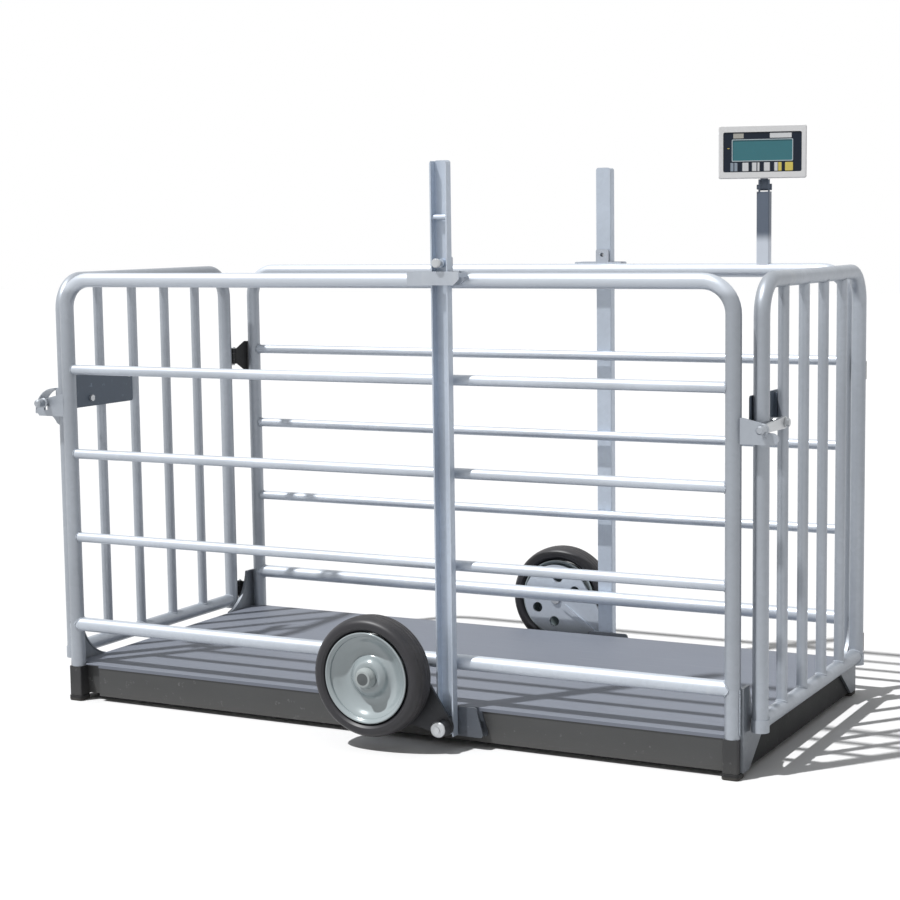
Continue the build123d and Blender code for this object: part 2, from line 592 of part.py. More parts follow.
lev_x = PIVOT_X + LEVER_SHIFT
lev_y = -OUT_Y - LEVER_CLEAR            # inner face of the lever's web
lev_out = lev_y - LEVER_DEPTH
tube_y0 = lev_y - 1.0
tube_y1 = tube_y0 - PIVOT_TUBE_L
arm_y0 = lev_out - 5.0
arm_y1 = arm_y0 - ARM_T
lock_z = RAIL_Z + CATCH_HIGH + LOCK_RISE
half = LEVER_W / 2
lever_face = outline([
    (-half, 0), (half, 0), (half, -LEVER_DEPTH), (half - LEVER_T, -LEVER_DEPTH), (half - LEVER_T, -LEVER_T),
    (-half + LEVER_T, -LEVER_T), (-half + LEVER_T, -LEVER_DEPTH), (-half, -LEVER_DEPTH)])
lever_face = fillet([v for v in lever_face.vertices() if abs(v.Y) < 0.01], LEVER_T)
lever = on_xy(lever_face.moved(Location((lev_x, lev_y, 0))), PIVOT_Z - LEVER_FOOT, LEVER_TOP_Z)
lever = lever - rod((PIVOT_X, lev_y + 1, PIVOT_Z), (PIVOT_X, tube_y1, PIVOT_Z), PIVOT_R)
bush = rod((lev_x, lev_y - LEVER_T, lock_z), (lev_x, lev_y - LEVER_T - 16, lock_z), LOCK_PIN_R + 5)
lever = lever + bush
lever = lever - rod((lev_x, lev_y + 1, lock_z), (lev_x, lev_y - 40, lock_z), LOCK_PIN_R + RUNNING_GAP)
grip_y = lev_y - LEVER_DEPTH * 0.6
lever = lever + rod((lev_x - half + 1, grip_y, CROSS_GRIP_Z), (lev_x + half - 1, grip_y, CROSS_GRIP_Z), 7.0)
top_r = 10.0
arch = outline([
    (lev_x - half, PIVOT_Z - LEVER_FOOT - 1), (lev_x + half, PIVOT_Z - LEVER_FOOT - 1), (lev_x + half, LEVER_TOP_Z), (lev_x - half, LEVER_TOP_Z)],
    top_r, [(lev_x + half, LEVER_TOP_Z), (lev_x - half, LEVER_TOP_Z)])
lever = lever & on_xz(arch, lev_out - 1, lev_y + 1)
save("lever_near", lever)
save("lever_far", flip_y(lever))

# Pivot tube with the teardrop crank arm

span = hypot(AXLE_X - PIVOT_X, AXLE_Z - PIVOT_Z)
turn = degrees(atan2(AXLE_Z - PIVOT_Z, AXLE_X - PIVOT_X))
tilt = (ARM_R_AXLE - ARM_R_PIVOT) / span
side = sqrt(1 - tilt ** 2)
tear = outline([
    (-ARM_R_PIVOT * tilt, ARM_R_PIVOT * side), (span - ARM_R_AXLE * tilt, ARM_R_AXLE * side),
    (span - ARM_R_AXLE * tilt, -ARM_R_AXLE * side), (-ARM_R_PIVOT * tilt, -ARM_R_PIVOT * side)])
tear = tear + Circle(ARM_R_PIVOT) + Circle(ARM_R_AXLE).moved(Location((span, 0, 0)))
tear = tear - Circle((PIVOT_R + PIVOT_BORE_R) / 2) - Circle(AXLE_R + RUNNING_GAP).moved(Location((span, 0, 0)))
for a in (60, 120, 240, 300):
    spot = Location((span + 70 * cos(radians(a)), 70 * sin(radians(a)), 0))
    tear = tear - Circle(16).moved(spot)
tear = tear.moved(Location((0, 0, 0), (0, 0, turn))).moved(Location((PIVOT_X, PIVOT_Z, 0)))
arm = on_xz(tear, arm_y1, arm_y0)
arm = arm + pipe((PIVOT_X, tube_y0, PIVOT_Z), (PIVOT_X, tube_y1, PIVOT_Z), PIVOT_R, PIVOT_R - PIVOT_BORE_R)
rib_s0 = ARM_R_PIVOT + 8.0
rib_s1 = span - AXLE_R - 24.0
rib = outline([(rib_s0, -5), (rib_s1, -8), (rib_s1, 8), (rib_s0, 5)], 2.5)
rib = rib.moved(Location((0, 0, 0), (0, 0, turn))).moved(Location((PIVOT_X, PIVOT_Z, 0)))
arm = arm + on_xz(rib, arm_y0 - ARM_T / 2, arm_y0 + 6)
save("crank_arm_near", arm)
save("crank_arm_far", flip_y(arm))

# Fixed pivot bracket and its stub shaft

face_y0 = -OUT_Y - 2.0
face_y1 = face_y0 - BRACKET_T
back_y = -chan_y
slant = 22.0
face = outline([
    (PIVOT_X - 58, BRACKET_Z0), (PIVOT_X + 93, BRACKET_Z0), (PIVOT_X + 93 - slant, BRACKET_Z1), (PIVOT_X - 58, BRACKET_Z1)], 9.0)
shaft_hole = Circle(PIVOT_BORE_R - RUNNING_GAP).moved(Location((PIVOT_X, PIVOT_Z, 0)))
bracket = on_xz(face - shaft_hole, face_y1, face_y0)
back_face = outline([
    (PIVOT_X - 58, BRACKET_Z0), (PIVOT_X + 93, BRACKET_Z0), (PIVOT_X + 93 - slant * 0.78, FLOOR_Z - FLOOR_LIP_H - 1),
    (PIVOT_X - 58, FLOOR_Z - FLOOR_LIP_H - 1)], 6.0)
bracket = bracket + on_xz(back_face - shaft_hole, back_y - BRACKET_T, back_y)
rib_z1 = FLOOR_Z - FLOOR_LIP_H - 3
for dx in (-54, -32, 34, 62):
    web = block(PIVOT_X + dx, PIVOT_X + dx + 4, face_y0 - 1, back_y - BRACKET_T + 1, BRACKET_Z0 + 5, rib_z1)
    bracket = bracket + web
boss = rod((PIVOT_X, back_y - BRACKET_T + 1, PIVOT_Z), (PIVOT_X, face_y1 - 2.0, PIVOT_Z), PIVOT_R + 5)
bracket = bracket + boss
bracket = bracket - rod((PIVOT_X, back_y + 1, PIVOT_Z), (PIVOT_X, face_y1 - 5, PIVOT_Z), PIVOT_BORE_R - RUNNING_GAP)
save("pivot_brackets", bracket, flip_y(bracket))

stub_r = PIVOT_BORE_R - 2 * RUNNING_GAP
cap_y = tube_y1 - 0.6
stub_profile = outline([
    (0, back_y - 1), (stub_r, back_y - 1), (stub_r, cap_y), (PIVOT_R + 1, cap_y), (PIVOT_R + 1, cap_y - 3),
    (PIVOT_R - 2, cap_y - 6), (9, cap_y - 7.5), (9, cap_y - 12), (0, cap_y - 12)])
stub = revolve(stub_profile, axis=Axis.Y).moved(Location((PIVOT_X, 0, PIVOT_Z)))
save("stub_shafts", stub, flip_y(stub))

# Catch on the top rail, a strap round the lever's front, and the lock pin carried by the lever

catch_low = RAIL_Z - CATCH_LOW
catch_high = RAIL_Z + CATCH_HIGH
catch_run = [
    (lev_x - CATCH_LEFT, catch_low), (lev_x + CATCH_RIGHT - 17, catch_low), (lev_x + CATCH_RIGHT, catch_low + 16),
    (lev_x + CATCH_RIGHT, catch_high), (lev_x - CATCH_LEFT, catch_high)]
catch_tab = outline([
    (lev_x - 20, catch_high - 6), (lev_x + 20, catch_high - 6), (lev_x + 20, lock_z + 16), (lev_x - 20, lock_z + 16)], 5.0)
catch_hole = Circle(LOCK_PIN_R + 0.4).moved(Location((lev_x, lock_z, 0)))
catch_plate = on_xz(outline(catch_run, 4.0) + catch_tab - catch_hole, -OUT_Y - CATCH_T, -OUT_Y)
strap_y = lev_out - STRAP_GAP
strap = on_xz(outline(catch_run, 4.0), strap_y - STRAP_T, strap_y)
bend_x = lev_x + CATCH_RIGHT - STRAP_T
strap = strap + block(bend_x, lev_x + CATCH_RIGHT, strap_y - STRAP_T + 1, -OUT_Y - CATCH_T + 1, catch_low + 20, catch_high - 4)
catch_plate = catch_plate + strap
save("catch_plates", catch_plate, flip_y(catch_plate))

pin_in = -OUT_Y - CATCH_T - LOCK_TIP_GAP
knob_y = lev_y - LEVER_T - 16 - LOCK_TRAVEL - 7.0
lock_profile = outline([
    (0, pin_in), (LOCK_PIN_R - 1.2, pin_in), (LOCK_PIN_R, pin_in - 1.4), (LOCK_PIN_R, knob_y), (9, knob_y), (11.5, knob_y - 3),
    (11.5, knob_y - 6), (9.5, knob_y - 8), (12, knob_y - 11), (10, knob_y - 14), (0, knob_y - 15)])
lock_pin = revolve(lock_profile, axis=Axis.Y).moved(Location((lev_x, 0, lock_z)))
save("lock_pin_near", lock_pin)
save("lock_pin_far", flip_y(lock_pin))

# Wheels, turned round the axle

tyre_y0 = arm_y1 - TYRE_GAP
tyre_y1 = tyre_y0 - TYRE_W
mid_y = (tyre_y0 + tyre_y1) / 2
hub_y0 = arm_y1 - 4.0


def turned(points):
    return revolve(outline(points), axis=Axis.Y).moved(Location((AXLE_X, 0, AXLE_Z)))


def stepped(start, middle, end, steps):
    # points along an arc, as the flats of a formed sheet or a moulded wall
    arc = ThreePointArc(start, middle, end)
    places = [arc @ (i / steps) for i in range(steps + 1)]
    return [(place.X, place.Y) for place in places]


def pressed(points):
    # one straight run, then bends, each through three of the points
    run = [points[0]]
    for i in range(1, len(points) - 2, 2):
        run = run + stepped(points[i], points[i + 1], points[i + 2], PRESS_STEPS)[0 if i == 1 else 1:]
    return Polyline(*run)


def strip(points, t):
    # pressed sheet of one thickness: a run through the points and a second run beside it
    outer = []
    for i, (r, y) in enumerate(points):
        a = points[max(i - 1, 0)]
        b = points[min(i + 1, len(points) - 1)]
        d = hypot(b[0] - a[0], b[1] - a[1])
        outer.append((r - (b[1] - a[1]) / d * t, y + (b[0] - a[0]) / d * t))
    ends = [Line(points[-1], outer[-1]), Line(points[0], outer[0])]
    sheet = make_face([pressed(points), pressed(outer)] + ends)
    return revolve(sheet, axis=Axis.Y).moved(Location((AXLE_X, 0, AXLE_Z)))


well_r = RIM_R - 9.0
bead_y0 = tyre_y0 - 9.0
bead_y1 = tyre_y1 + 9.0
dish_y = tyre_y1 + 12.0
disc = strip([
    (HUB_R + 1, dish_y + 2), (HUB_R + 14, dish_y + 2), (HUB_R + 26, dish_y + 8), (RIM_R * 0.52, dish_y + 16),
    (RIM_R * 0.68, dish_y + 18), (RIM_R * 0.80, dish_y + 12), (RIM_R * 0.88, dish_y + 5), (well_r - 0.5, dish_y + 3)], RIM_T)
band = turned([
    (well_r - RIM_T, bead_y0 + 3), (well_r - RIM_T, dish_y + 12), (well_r - RIM_T, bead_y1 - 1), (RIM_R - 2, bead_y1 - 6),
    (RIM_R + 1, bead_y1 - 5), (RIM_R + 1, bead_y1 - 2), (RIM_R - 2, bead_y1 - 3), (well_r + 1, bead_y1 + 1),
    (well_r + 1, bead_y0 - 1), (RIM_R - 2, bead_y0 + 3), (RIM_R + 1, bead_y0 + 2), (RIM_R + 1, bead_y0 + 5),
    (RIM_R - 2, bead_y0 + 6)])
rim = disc + band

seat = well_r + 1.4
tyre_face = make_face([
    Polyline((seat, bead_y0 - 4), (seat, bead_y1 + 4), (RIM_R - 3, bead_y1 + 1.5), (RIM_R + 4, bead_y1)),
    Polyline(*stepped((RIM_R + 4, bead_y1), ((RIM_R + TYRE_R) / 2, tyre_y1), (TYRE_R - 4, tyre_y1 + 8), WALL_STEPS)),
    Polyline(
        (TYRE_R - 4, tyre_y1 + 8), (TYRE_R, tyre_y1 + 16), (TYRE_R, mid_y - 16), (TYRE_R - 6, mid_y - 15),
        (TYRE_R - 6, mid_y - 10), (TYRE_R, mid_y - 9), (TYRE_R, mid_y + 9), (TYRE_R - 6, mid_y + 10),
        (TYRE_R - 6, mid_y + 15), (TYRE_R, mid_y + 16), (TYRE_R, tyre_y0 - 16), (TYRE_R - 4, tyre_y0 - 8)),
    Polyline(*stepped((TYRE_R - 4, tyre_y0 - 8), ((RIM_R + TYRE_R) / 2, tyre_y0), (RIM_R + 4, bead_y0), WALL_STEPS)),
    Polyline((RIM_R + 4, bead_y0), (RIM_R - 3, bead_y0 - 1.5), (seat, bead_y0 - 4))])
tyre = revolve(tyre_face, axis=Axis.Y)
tyre = tyre.moved(Location((AXLE_X, 0, AXLE_Z)))
save("tyre_near", tyre)
save("tyre_far", flip_y(tyre))

bore = AXLE_R + RUNNING_GAP
nut_y = tyre_y1 + 6.0
flange_y = dish_y + 2 + RIM_T / 2
hub = turned([
    (bore, hub_y0), (HUB_R - 4, hub_y0), (HUB_R - 2, hub_y0 - 3), (HUB_R - 2, flange_y + 12), (HUB_R + 16, flange_y + 5),
    (HUB_R + 16, flange_y), (HUB_R, flange_y), (HUB_R, nut_y), (bore, nut_y)])
rim = rim + hub
save("rim_near", rim)
save("rim_far", flip_y(rim))

cap_y1 = tyre_y1 - 10.0
hub_cap = turned([
    (HUB_R, dish_y - 2), (HUB_R + 4, dish_y - 2), (HUB_R + 4, tyre_y1 + 4), (HUB_R + 1, tyre_y1 - 2), (HUB_R - 3, cap_y1),
    (0, cap_y1 - 2), (0, cap_y1 + 2), (HUB_R - 6, cap_y1 + 3.5), (HUB_R - 3, tyre_y1), (HUB_R, tyre_y1 + 5)])
save("hub_cap_near", hub_cap)
save("hub_cap_far", flip_y(hub_cap))

axle = turned([
    (0, arm_y0 + 7), (13, arm_y0 + 7), (15, arm_y0 + 5), (15, arm_y0), (AXLE_R, arm_y0), (AXLE_R, arm_y1),
    (AXLE_R + 5, arm_y1), (AXLE_R + 5, hub_y0 + 0.6), (AXLE_R, hub_y0 + 0.6), (AXLE_R, nut_y - 0.6), (AXLE_R + 6, nut_y - 0.6),
    (AXLE_R + 6, nut_y - 2.6), (AXLE_R + 5, nut_y - 2.6), (AXLE_R + 5, nut_y - 9), (AXLE_R - 3, nut_y - 10), (0, nut_y - 10)])
save("axle_near", axle)
save("axle_far", flip_y(axle))

# Weight indicator on the far top rail: post, tilting head, screen and keys

post_y = HY
post_face = RectangleRounded(IND_POST_W, IND_POST_D, 4)
post_hole = RectangleRounded(IND_POST_W - 2 * IND_POST_WALL, IND_POST_D - 2 * IND_POST_WALL, 2)
post_at = Location((IND_X, post_y, 0))
ind_post = on_xy((post_face - post_hole).moved(post_at), RAIL_Z + 4, IND_POST_TOP)
ind_post = ind_post - rod((IND_X - 60, HY, RAIL_Z), (IND_X + 60, HY, RAIL_Z), TR)
save("indicator_post", ind_post)



def faced(shape):
    return shape.rotate(Axis((IND_X, post_y, 0), (0, 0, 1)), IND_TURN)


lug_w = 21.0
ear_t = 5.0
ear_gap = 0.5
ear_r = 11.0
ear_d = 9.5
ear_top = 22.0
bolt_r = 4.0
base_z1 = IND_TILT_Z - ear_r - 2.0
fork = on_xy(post_face.moved(post_at), IND_POST_TOP, base_z1)
fork = fork + on_xy(
    RectangleRounded(IND_POST_W - 2 * IND_POST_WALL - 1, IND_POST_D - 2 * IND_POST_WALL - 1, 2).moved(post_at),
    IND_POST_TOP - 18, IND_POST_TOP)
ear_face = outline([(-ear_d, base_z1 - 2), (ear_d, base_z1 - 2), (ear_d, IND_TILT_Z + ear_top), (-ear_d, IND_TILT_Z + ear_top)])
ear_face = ear_face & Circle(ear_top).moved(Location((0, IND_TILT_Z, 0)))
ear_face = (ear_face - Circle(bolt_r + RUNNING_GAP).moved(Location((0, IND_TILT_Z, 0)))).moved(Location((post_y, 0, 0)))
ear_x = lug_w / 2 + ear_gap
ears = on_yz(ear_face, IND_X - ear_x - ear_t, IND_X - ear_x) + on_yz(ear_face, IND_X + ear_x, IND_X + ear_x + ear_t)
save("indicator_bracket", fork + faced(ears))

knob_x = IND_X + ear_x + ear_t
bolt_x0 = IND_X - ear_x - ear_t
tilt_bolt = rod((bolt_x0 - 4, post_y, IND_TILT_Z), (knob_x + 2, post_y, IND_TILT_Z), bolt_r)
tilt_bolt = tilt_bolt + extrude(Plane(origin=(bolt_x0, post_y, IND_TILT_Z), z_dir=(-1, 0, 0)) * RegularPolygon(7, 6), amount=5)
lobes = Circle(7.0)
for i in range(6):
    lobes = lobes + Circle(2.4).moved(Location((6.6 * cos(radians(60 * i)), 6.6 * sin(radians(60 * i)), 0)))
tilt_bolt = tilt_bolt + extrude(Plane(origin=(knob_x, post_y, IND_TILT_Z), z_dir=(1, 0, 0)) * lobes, amount=6)
save("indicator_tilt_knob", faced(tilt_bolt))

ind_cx = IND_X - 4.5
ind_z1 = IND_Z0 + IND_H
ind_cz = IND_Z0 + IND_H / 2
front_y = post_y - IND_FRONT
bezel_y = front_y + IND_BEZEL_D
box_y = bezel_y + IND_BOX_D
panel_w = IND_W - 28.0
panel_h = IND_H - 38.0
screen_w = 168.0
screen_h = 58.0
screen_z = ind_cz + 5.0
panel_t = 3.0
panel_y0 = front_y + 2.0
panel_y1 = panel_y0 + panel_t
centre = Location((ind_cx, ind_cz, 0))
bezel = on_xz(RectangleRounded(IND_W, IND_H, 6).moved(centre), front_y, bezel_y)
front_edges = bezel.edges().group_by(Axis.Y)[0]
bezel = fillet(front_edges, 3.0)
bezel = bezel - on_xz(RectangleRounded(panel_w + 0.8, panel_h + 0.8, 5).moved(centre), front_y - 1, panel_y1 + 0.2)
bezel = bezel - on_xz(RectangleRounded(panel_w - 8, panel_h - 8, 4).moved(centre), front_y - 1, bezel_y + 1)
save("indicator_bezel", faced(bezel))

box_w = IND_W - 24.0
box_h = IND_H - 24.0
case = on_xz(RectangleRounded(box_w, box_h, 8).moved(centre), bezel_y, box_y)
case = fillet(case.edges().group_by(Axis.Y)[-1], 6.0)
case = case - on_xz(RectangleRounded(box_w - 2 * IND_WALL, box_h - 2 * IND_WALL, 5).moved(centre), bezel_y - 1, box_y - IND_WALL)
for i in range(5):
    z = ind_cz - 24 + 12 * i
    case = case - block(ind_cx - 60, ind_cx + 60, box_y - IND_WALL - 1, box_y + 1, z - 2, z + 2)
lug_top = ind_cz - box_h / 2
lug_front = bezel_y - post_y + 0.5
lug_face = outline([
    (-ear_r + 1, IND_TILT_Z), (ear_r - 1, IND_TILT_Z), (ear_r + 3, lug_top + 1), (lug_front, lug_top + 1),
    (lug_front, IND_Z0 - 3), (-ear_r + 1, IND_TILT_Z + 4)])
lug_face = lug_face + Circle(ear_r - 1).moved(Location((0, IND_TILT_Z, 0)))
lug_face = (lug_face - Circle(bolt_r + RUNNING_GAP).moved(Location((0, IND_TILT_Z, 0)))).moved(Location((post_y, 0, 0)))
case = case + on_yz(lug_face, IND_X - lug_w / 2, IND_X + lug_w / 2)
gland_x = ind_cx - 70
gland = pipe((gland_x, bezel_y + 25, lug_top + 1), (gland_x, bezel_y + 25, lug_top - 9), 8.0, 3.0)
case = case + gland
save("indicator_case", faced(case))

screen_face = RectangleRounded(screen_w, screen_h, 3).moved(Location((ind_cx, screen_z, 0)))
panel = RectangleRounded(panel_w, panel_h, 4).moved(centre) - screen_face
key_z = IND_Z0 + 33.0
key_spans = [(-80.0, 23.0), (-47.5, 22.0), (-18.5, 26.0), (13.0, 21.0), (44.0, 25.0), (75.0, 24.0)]
key_h = 24.0
for dx, w in key_spans:
    panel = panel - RectangleRounded(w + 2 * KEY_GAP, key_h + 2 * KEY_GAP, 4).moved(Location((ind_cx + dx, key_z, 0)))
save("indicator_panel", faced(on_xz(panel, panel_y0, panel_y1)))

screen_rim = RectangleRounded(screen_w + 8, screen_h + 8, 4).moved(Location((ind_cx, screen_z, 0)))
screen = on_xz(screen_face, panel_y0 + 0.8, panel_y1) + on_xz(screen_rim, panel_y1, panel_y1 + 3.0)
save("indicator_screen", faced(screen))

for i, (dx, w) in enumerate(key_spans):
    place = Location((ind_cx + dx, key_z, 0))
    key = on_xz(RectangleRounded(w, key_h, 3.6).moved(place), panel_y0 - 1.6, panel_y1 - KEY_TRAVEL - 0.1)
    key = fillet(key.edges().group_by(Axis.Y)[0], 0.8)
    key = key + on_xz(RectangleRounded(w - 6, key_h - 8, 2).moved(place), panel_y1 - KEY_TRAVEL - 0.6, panel_y1 + 4.0)
    save("key_" + str(i + 1), faced(key))
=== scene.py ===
from math import cos, pi, radians, sin, sqrt

import bmesh
import bpy
from mathutils import Matrix, Vector


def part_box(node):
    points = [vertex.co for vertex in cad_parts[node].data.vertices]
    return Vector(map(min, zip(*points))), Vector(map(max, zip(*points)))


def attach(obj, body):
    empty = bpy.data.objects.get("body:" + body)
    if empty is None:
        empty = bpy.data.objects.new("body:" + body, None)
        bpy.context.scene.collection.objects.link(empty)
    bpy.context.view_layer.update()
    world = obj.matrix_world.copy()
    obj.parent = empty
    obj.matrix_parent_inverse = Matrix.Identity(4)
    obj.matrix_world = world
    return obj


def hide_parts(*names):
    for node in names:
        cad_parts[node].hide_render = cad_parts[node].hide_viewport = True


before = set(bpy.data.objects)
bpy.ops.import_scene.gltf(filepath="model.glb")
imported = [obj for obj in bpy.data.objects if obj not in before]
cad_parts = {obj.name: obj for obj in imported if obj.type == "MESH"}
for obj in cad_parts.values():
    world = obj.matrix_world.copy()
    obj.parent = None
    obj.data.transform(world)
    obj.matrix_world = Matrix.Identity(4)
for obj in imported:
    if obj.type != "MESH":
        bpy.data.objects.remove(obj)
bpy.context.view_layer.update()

# Feet: square steel blocks under the four posts, each with a steel load cell
# inside and a moulded black rubber pad pushed up into it. The blocks are dipped
# dark and scuffed, the pads are dusty where they meet the yard.


class Flow:
    """One output of a node, so that sums are written as Python."""

    def __init__(self, graph, socket):
        self.graph = graph
        self.socket = socket

    def sum(self, operation, first, second):
        return self.graph.node("ShaderNodeMath", {"operation": operation}, {0: first, 1: second})

    def __add__(self, other):
        return self.sum("ADD", self, other)

    def __sub__(self, other):
        return self.sum("SUBTRACT", self, other)

    def __rsub__(self, other):
        return self.sum("SUBTRACT", other, self)

    def __mul__(self, other):
        return self.sum("MULTIPLY", self, other)

    __radd__ = __add__


class Graph:
    """A node tree whose nodes all come from one method."""

    def __init__(self, tree):
        self.tree = tree

    def node(self, kind, settings=None, values=None, out=0):
        made = self.tree.nodes.new(kind)
        for name, value in (settings or {}).items():
            setattr(made, name, value)
        for name, value in (values or {}).items():
            self.put(made.inputs[name], value)
        return Flow(self, made.outputs[out])

    def put(self, socket, value):
        if isinstance(value, Flow):
            self.tree.links.new(value.socket, socket)
        else:
            socket.default_value = value

    def looked_at(self):
        """1 for rays that show a thing or mirror it, 0 for rays that light it."""
        seen = self.node("ShaderNodeLightPath", out="Is Camera Ray")
        for other in ("Is Glossy Ray", "Is Transmission Ray"):
            ray = self.node("ShaderNodeLightPath", out=other)
            seen = self.node("ShaderNodeMath", {"operation": "MAXIMUM"}, {0: seen, 1: ray})
        return seen


class Finish(Graph):
    """A material for one surface of the crate, on Object coordinates."""

    def __init__(self, name, **constants):
        self.material = bpy.data.materials.new(name)
        self.material.use_nodes = True
        super().__init__(self.material.node_tree)
        self.shader = self.tree.nodes["Principled BSDF"]
        self.place = self.node("ShaderNodeTexCoord", out="Object")
        self.wear(**constants)

    def wear(self, **values):
        for name, value in values.items():
            self.put(self.shader.inputs[name.replace("_", " ")], value)

    def stretched(self, x, y, z):
        return self.node("ShaderNodeMapping", {}, {"Vector": self.place, "Scale": (x, y, z)})

    def clouds(self, scale, detail=4.0, at=None, rough=0.5):
        return self.node("ShaderNodeTexNoise", {}, {
            "Vector": at or self.place, "Scale": scale, "Detail": detail, "Roughness": rough})

    def band(self, value, low, high):
        return self.node("ShaderNodeMapRange", {"interpolation_type": "SMOOTHSTEP"}, {
            "Value": value, "From Min": low, "From Max": high})

    def mix(self, mask, first, second):
        first, second = [(*c, 1) if isinstance(c, tuple) and len(c) == 3 else c for c in (first, second)]
        return self.node("ShaderNodeMix", {"data_type": "RGBA"}, {0: mask, 6: first, 7: second}, out=2)

    def height(self):
        return self.node("ShaderNodeSeparateXYZ", {}, {0: self.place}, out="Z")

    def from_axle(self, hub):
        """How far a place is from the wheel's axle, which runs across the crate."""
        shifted = self.node("ShaderNodeVectorMath", {"operation": "SUBTRACT"}, {0: self.place, 1: hub})
        flat = self.node("ShaderNodeVectorMath", {"operation": "MULTIPLY"}, {0: shifted, 1: (1.0, 0.0, 1.0)})
        return self.node("ShaderNodeVectorMath", {"operation": "LENGTH"}, {0: flat}, out="Value")

    def bump(self, value, strength, depth=0.001):
        self.wear(Normal=self.node("ShaderNodeBump", {}, {
            "Height": value, "Strength": strength, "Distance": depth}))


def dress(finish, *names):
    for name in names:
        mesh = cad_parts[name].data
        mesh.materials.clear()
        mesh.materials.append(finish.material)


def dipped_steel(name, tone, dust):
    look = Finish(name, Metallic=0.35)
    cloud = look.clouds(9.0)
    grain = look.clouds(160.0, 2.0)
    scuff = look.band(look.clouds(38.0, 6.0, rough=0.7), 0.60, 0.72)
    bare = tuple(min(1.0, c * 2.4 + 0.05) for c in tone)
    deep = tuple(c * 0.72 for c in tone)
    colour = look.mix(cloud, deep, tone)
    colour = look.mix(scuff * 0.45, colour, bare)
    low = 1 - look.band(look.height() + cloud * 0.05, 0.01, 0.10)
    colour = look.mix(low * 0.16, colour, dust)
    look.wear(Base_Color=colour, Roughness=0.40 + cloud * 0.2 + low * 0.15)
    look.bump(grain + cloud * 0.5, 0.25)
    return look


yard_dust = (0.20, 0.19, 0.175)
block_steel = dipped_steel("foot block steel", (0.055, 0.056, 0.058), yard_dust)
dress(block_steel, "foot_blocks")

cell_steel = Finish("load cell steel", Metallic=0.9)
turning = cell_steel.clouds(60.0, 3.0, cell_steel.stretched(1, 1, 18))
cell_steel.wear(
    Base_Color=cell_steel.mix(turning, (0.50, 0.51, 0.52), (0.66, 0.67, 0.68)), Roughness=0.25 + turning * 0.2)
dress(cell_steel, "load_cells")

pad_rubber = Finish("foot pad rubber")
pores = pad_rubber.clouds(220.0, 3.0)
dusting = (1 - pad_rubber.band(pad_rubber.height(), 0.001, 0.012)) * pad_rubber.clouds(40.0, 5.0)
pad_tone = pad_rubber.mix(dusting * 0.8, (0.018, 0.018, 0.019), (0.16, 0.15, 0.13))
pad_rubber.wear(Base_Color=pad_tone, Roughness=0.72 + pores * 0.2)
pad_rubber.bump(pores, 0.3)
dress(pad_rubber, "foot_pads")

# Base: folded steel channels all round and hat-section members across, welded
# and painted a dull dark grey, with dust on the lower edge and scuffs down to the
# metal. The end channels carry painted shade: a near-black, duller tone than the
# sides, in place of the shade they lie in.

base_paint = dipped_steel("base paint", (0.090, 0.092, 0.093), yard_dust)
dress(base_paint, "base_side_channels", "base_cross_members")
# Painted shade: the end channels get a near-black tone and little shine, standing in for the shade they lie in.
end_painted_shade = dipped_steel("base end paint", (0.014, 0.015, 0.016), (0.05, 0.05, 0.05))
end_painted_shade.wear(Metallic=0.0, Specular_IOR_Level=0.12)
dress(end_painted_shade, "base_end_channels")

# Floor: one smooth sheet with folded side lips, dull grey from hooves and
# washing down. Fine scratches run along the crate, over broad worn patches and
# small dark hoof marks.

deck = Finish("floor sheet", Metallic=0.10, Specular_IOR_Level=0.35)
worn = deck.clouds(2.6, 5.0, deck.stretched(0.6, 1.2, 1))
long_marks = deck.clouds(70.0, 4.0, deck.stretched(0.06, 2.2, 1), 0.65)
hoof_marks = deck.band(deck.clouds(26.0, 7.0, rough=0.75), 0.60, 0.70)
sheet_tone = deck.mix(worn, (0.175, 0.192, 0.232), (0.235, 0.255, 0.300))
sheet_tone = deck.mix(deck.band(long_marks, 0.55, 0.75) * 0.30, sheet_tone, (0.36, 0.38, 0.42))
sheet_tone = deck.mix(hoof_marks * 0.18, sheet_tone, (0.11, 0.12, 0.14))
deck.wear(Base_Color=sheet_tone, Roughness=0.46 + worn * 0.15 + long_marks * 0.12)
deck.bump(long_marks * 0.6 + hoof_marks * 0.4, 0.18, 0.0006)
dress(deck, "floor_plate")

# Side panels: 40 mm tube bent into two posts and a top rail, with 28 mm tubes
# and one 40 mm tube coped and welded between the posts. Hot-dip galvanised
# after welding, so the spangle runs over the beads. The top rail and the bars
# carry a painted highlight: they are paler than the posts, standing in for the sun on their tops.


def galvanised(name, tone, blue=1.0):
    look = Finish(name, Metallic=0.50)
    cloud = look.clouds(2.2, 3.0)
    runs = look.clouds(14.0, 3.0, look.stretched(1, 1, 0.10))
    spangle = look.node("ShaderNodeTexVoronoi", {"feature": "F1"}, {
        "Vector": look.place, "Scale": 85.0, "Randomness": 1.0}, out="Color")
    spangle = look.node("ShaderNodeSeparateColor", {}, {0: spangle}, out="Red")
    tint = (1 - blue * 0.075, 1.0, 1 + blue * 0.105)
    dark = tuple(tone * 0.88 * k for k in tint)
    pale = tuple(tone * 1.03 * k for k in tint)
    colour = look.mix(look.band(cloud, 0.35, 0.65), dark, pale)
    colour = look.mix(spangle * 0.16, colour, tuple(c * 0.80 for c in dark))
    streak = (tone * 1.18, tone * 1.22, tone * 1.24)
    colour = look.mix(look.band(runs, 0.60, 0.80) * 0.30, colour, streak)
    look.wear(Base_Color=colour, Roughness=0.38 + cloud * 0.08 + spangle * 0.05)
    look.bump(cloud * 0.7 + runs * 0.6, 0.07, 0.0008)
    look.colour = colour
    return look


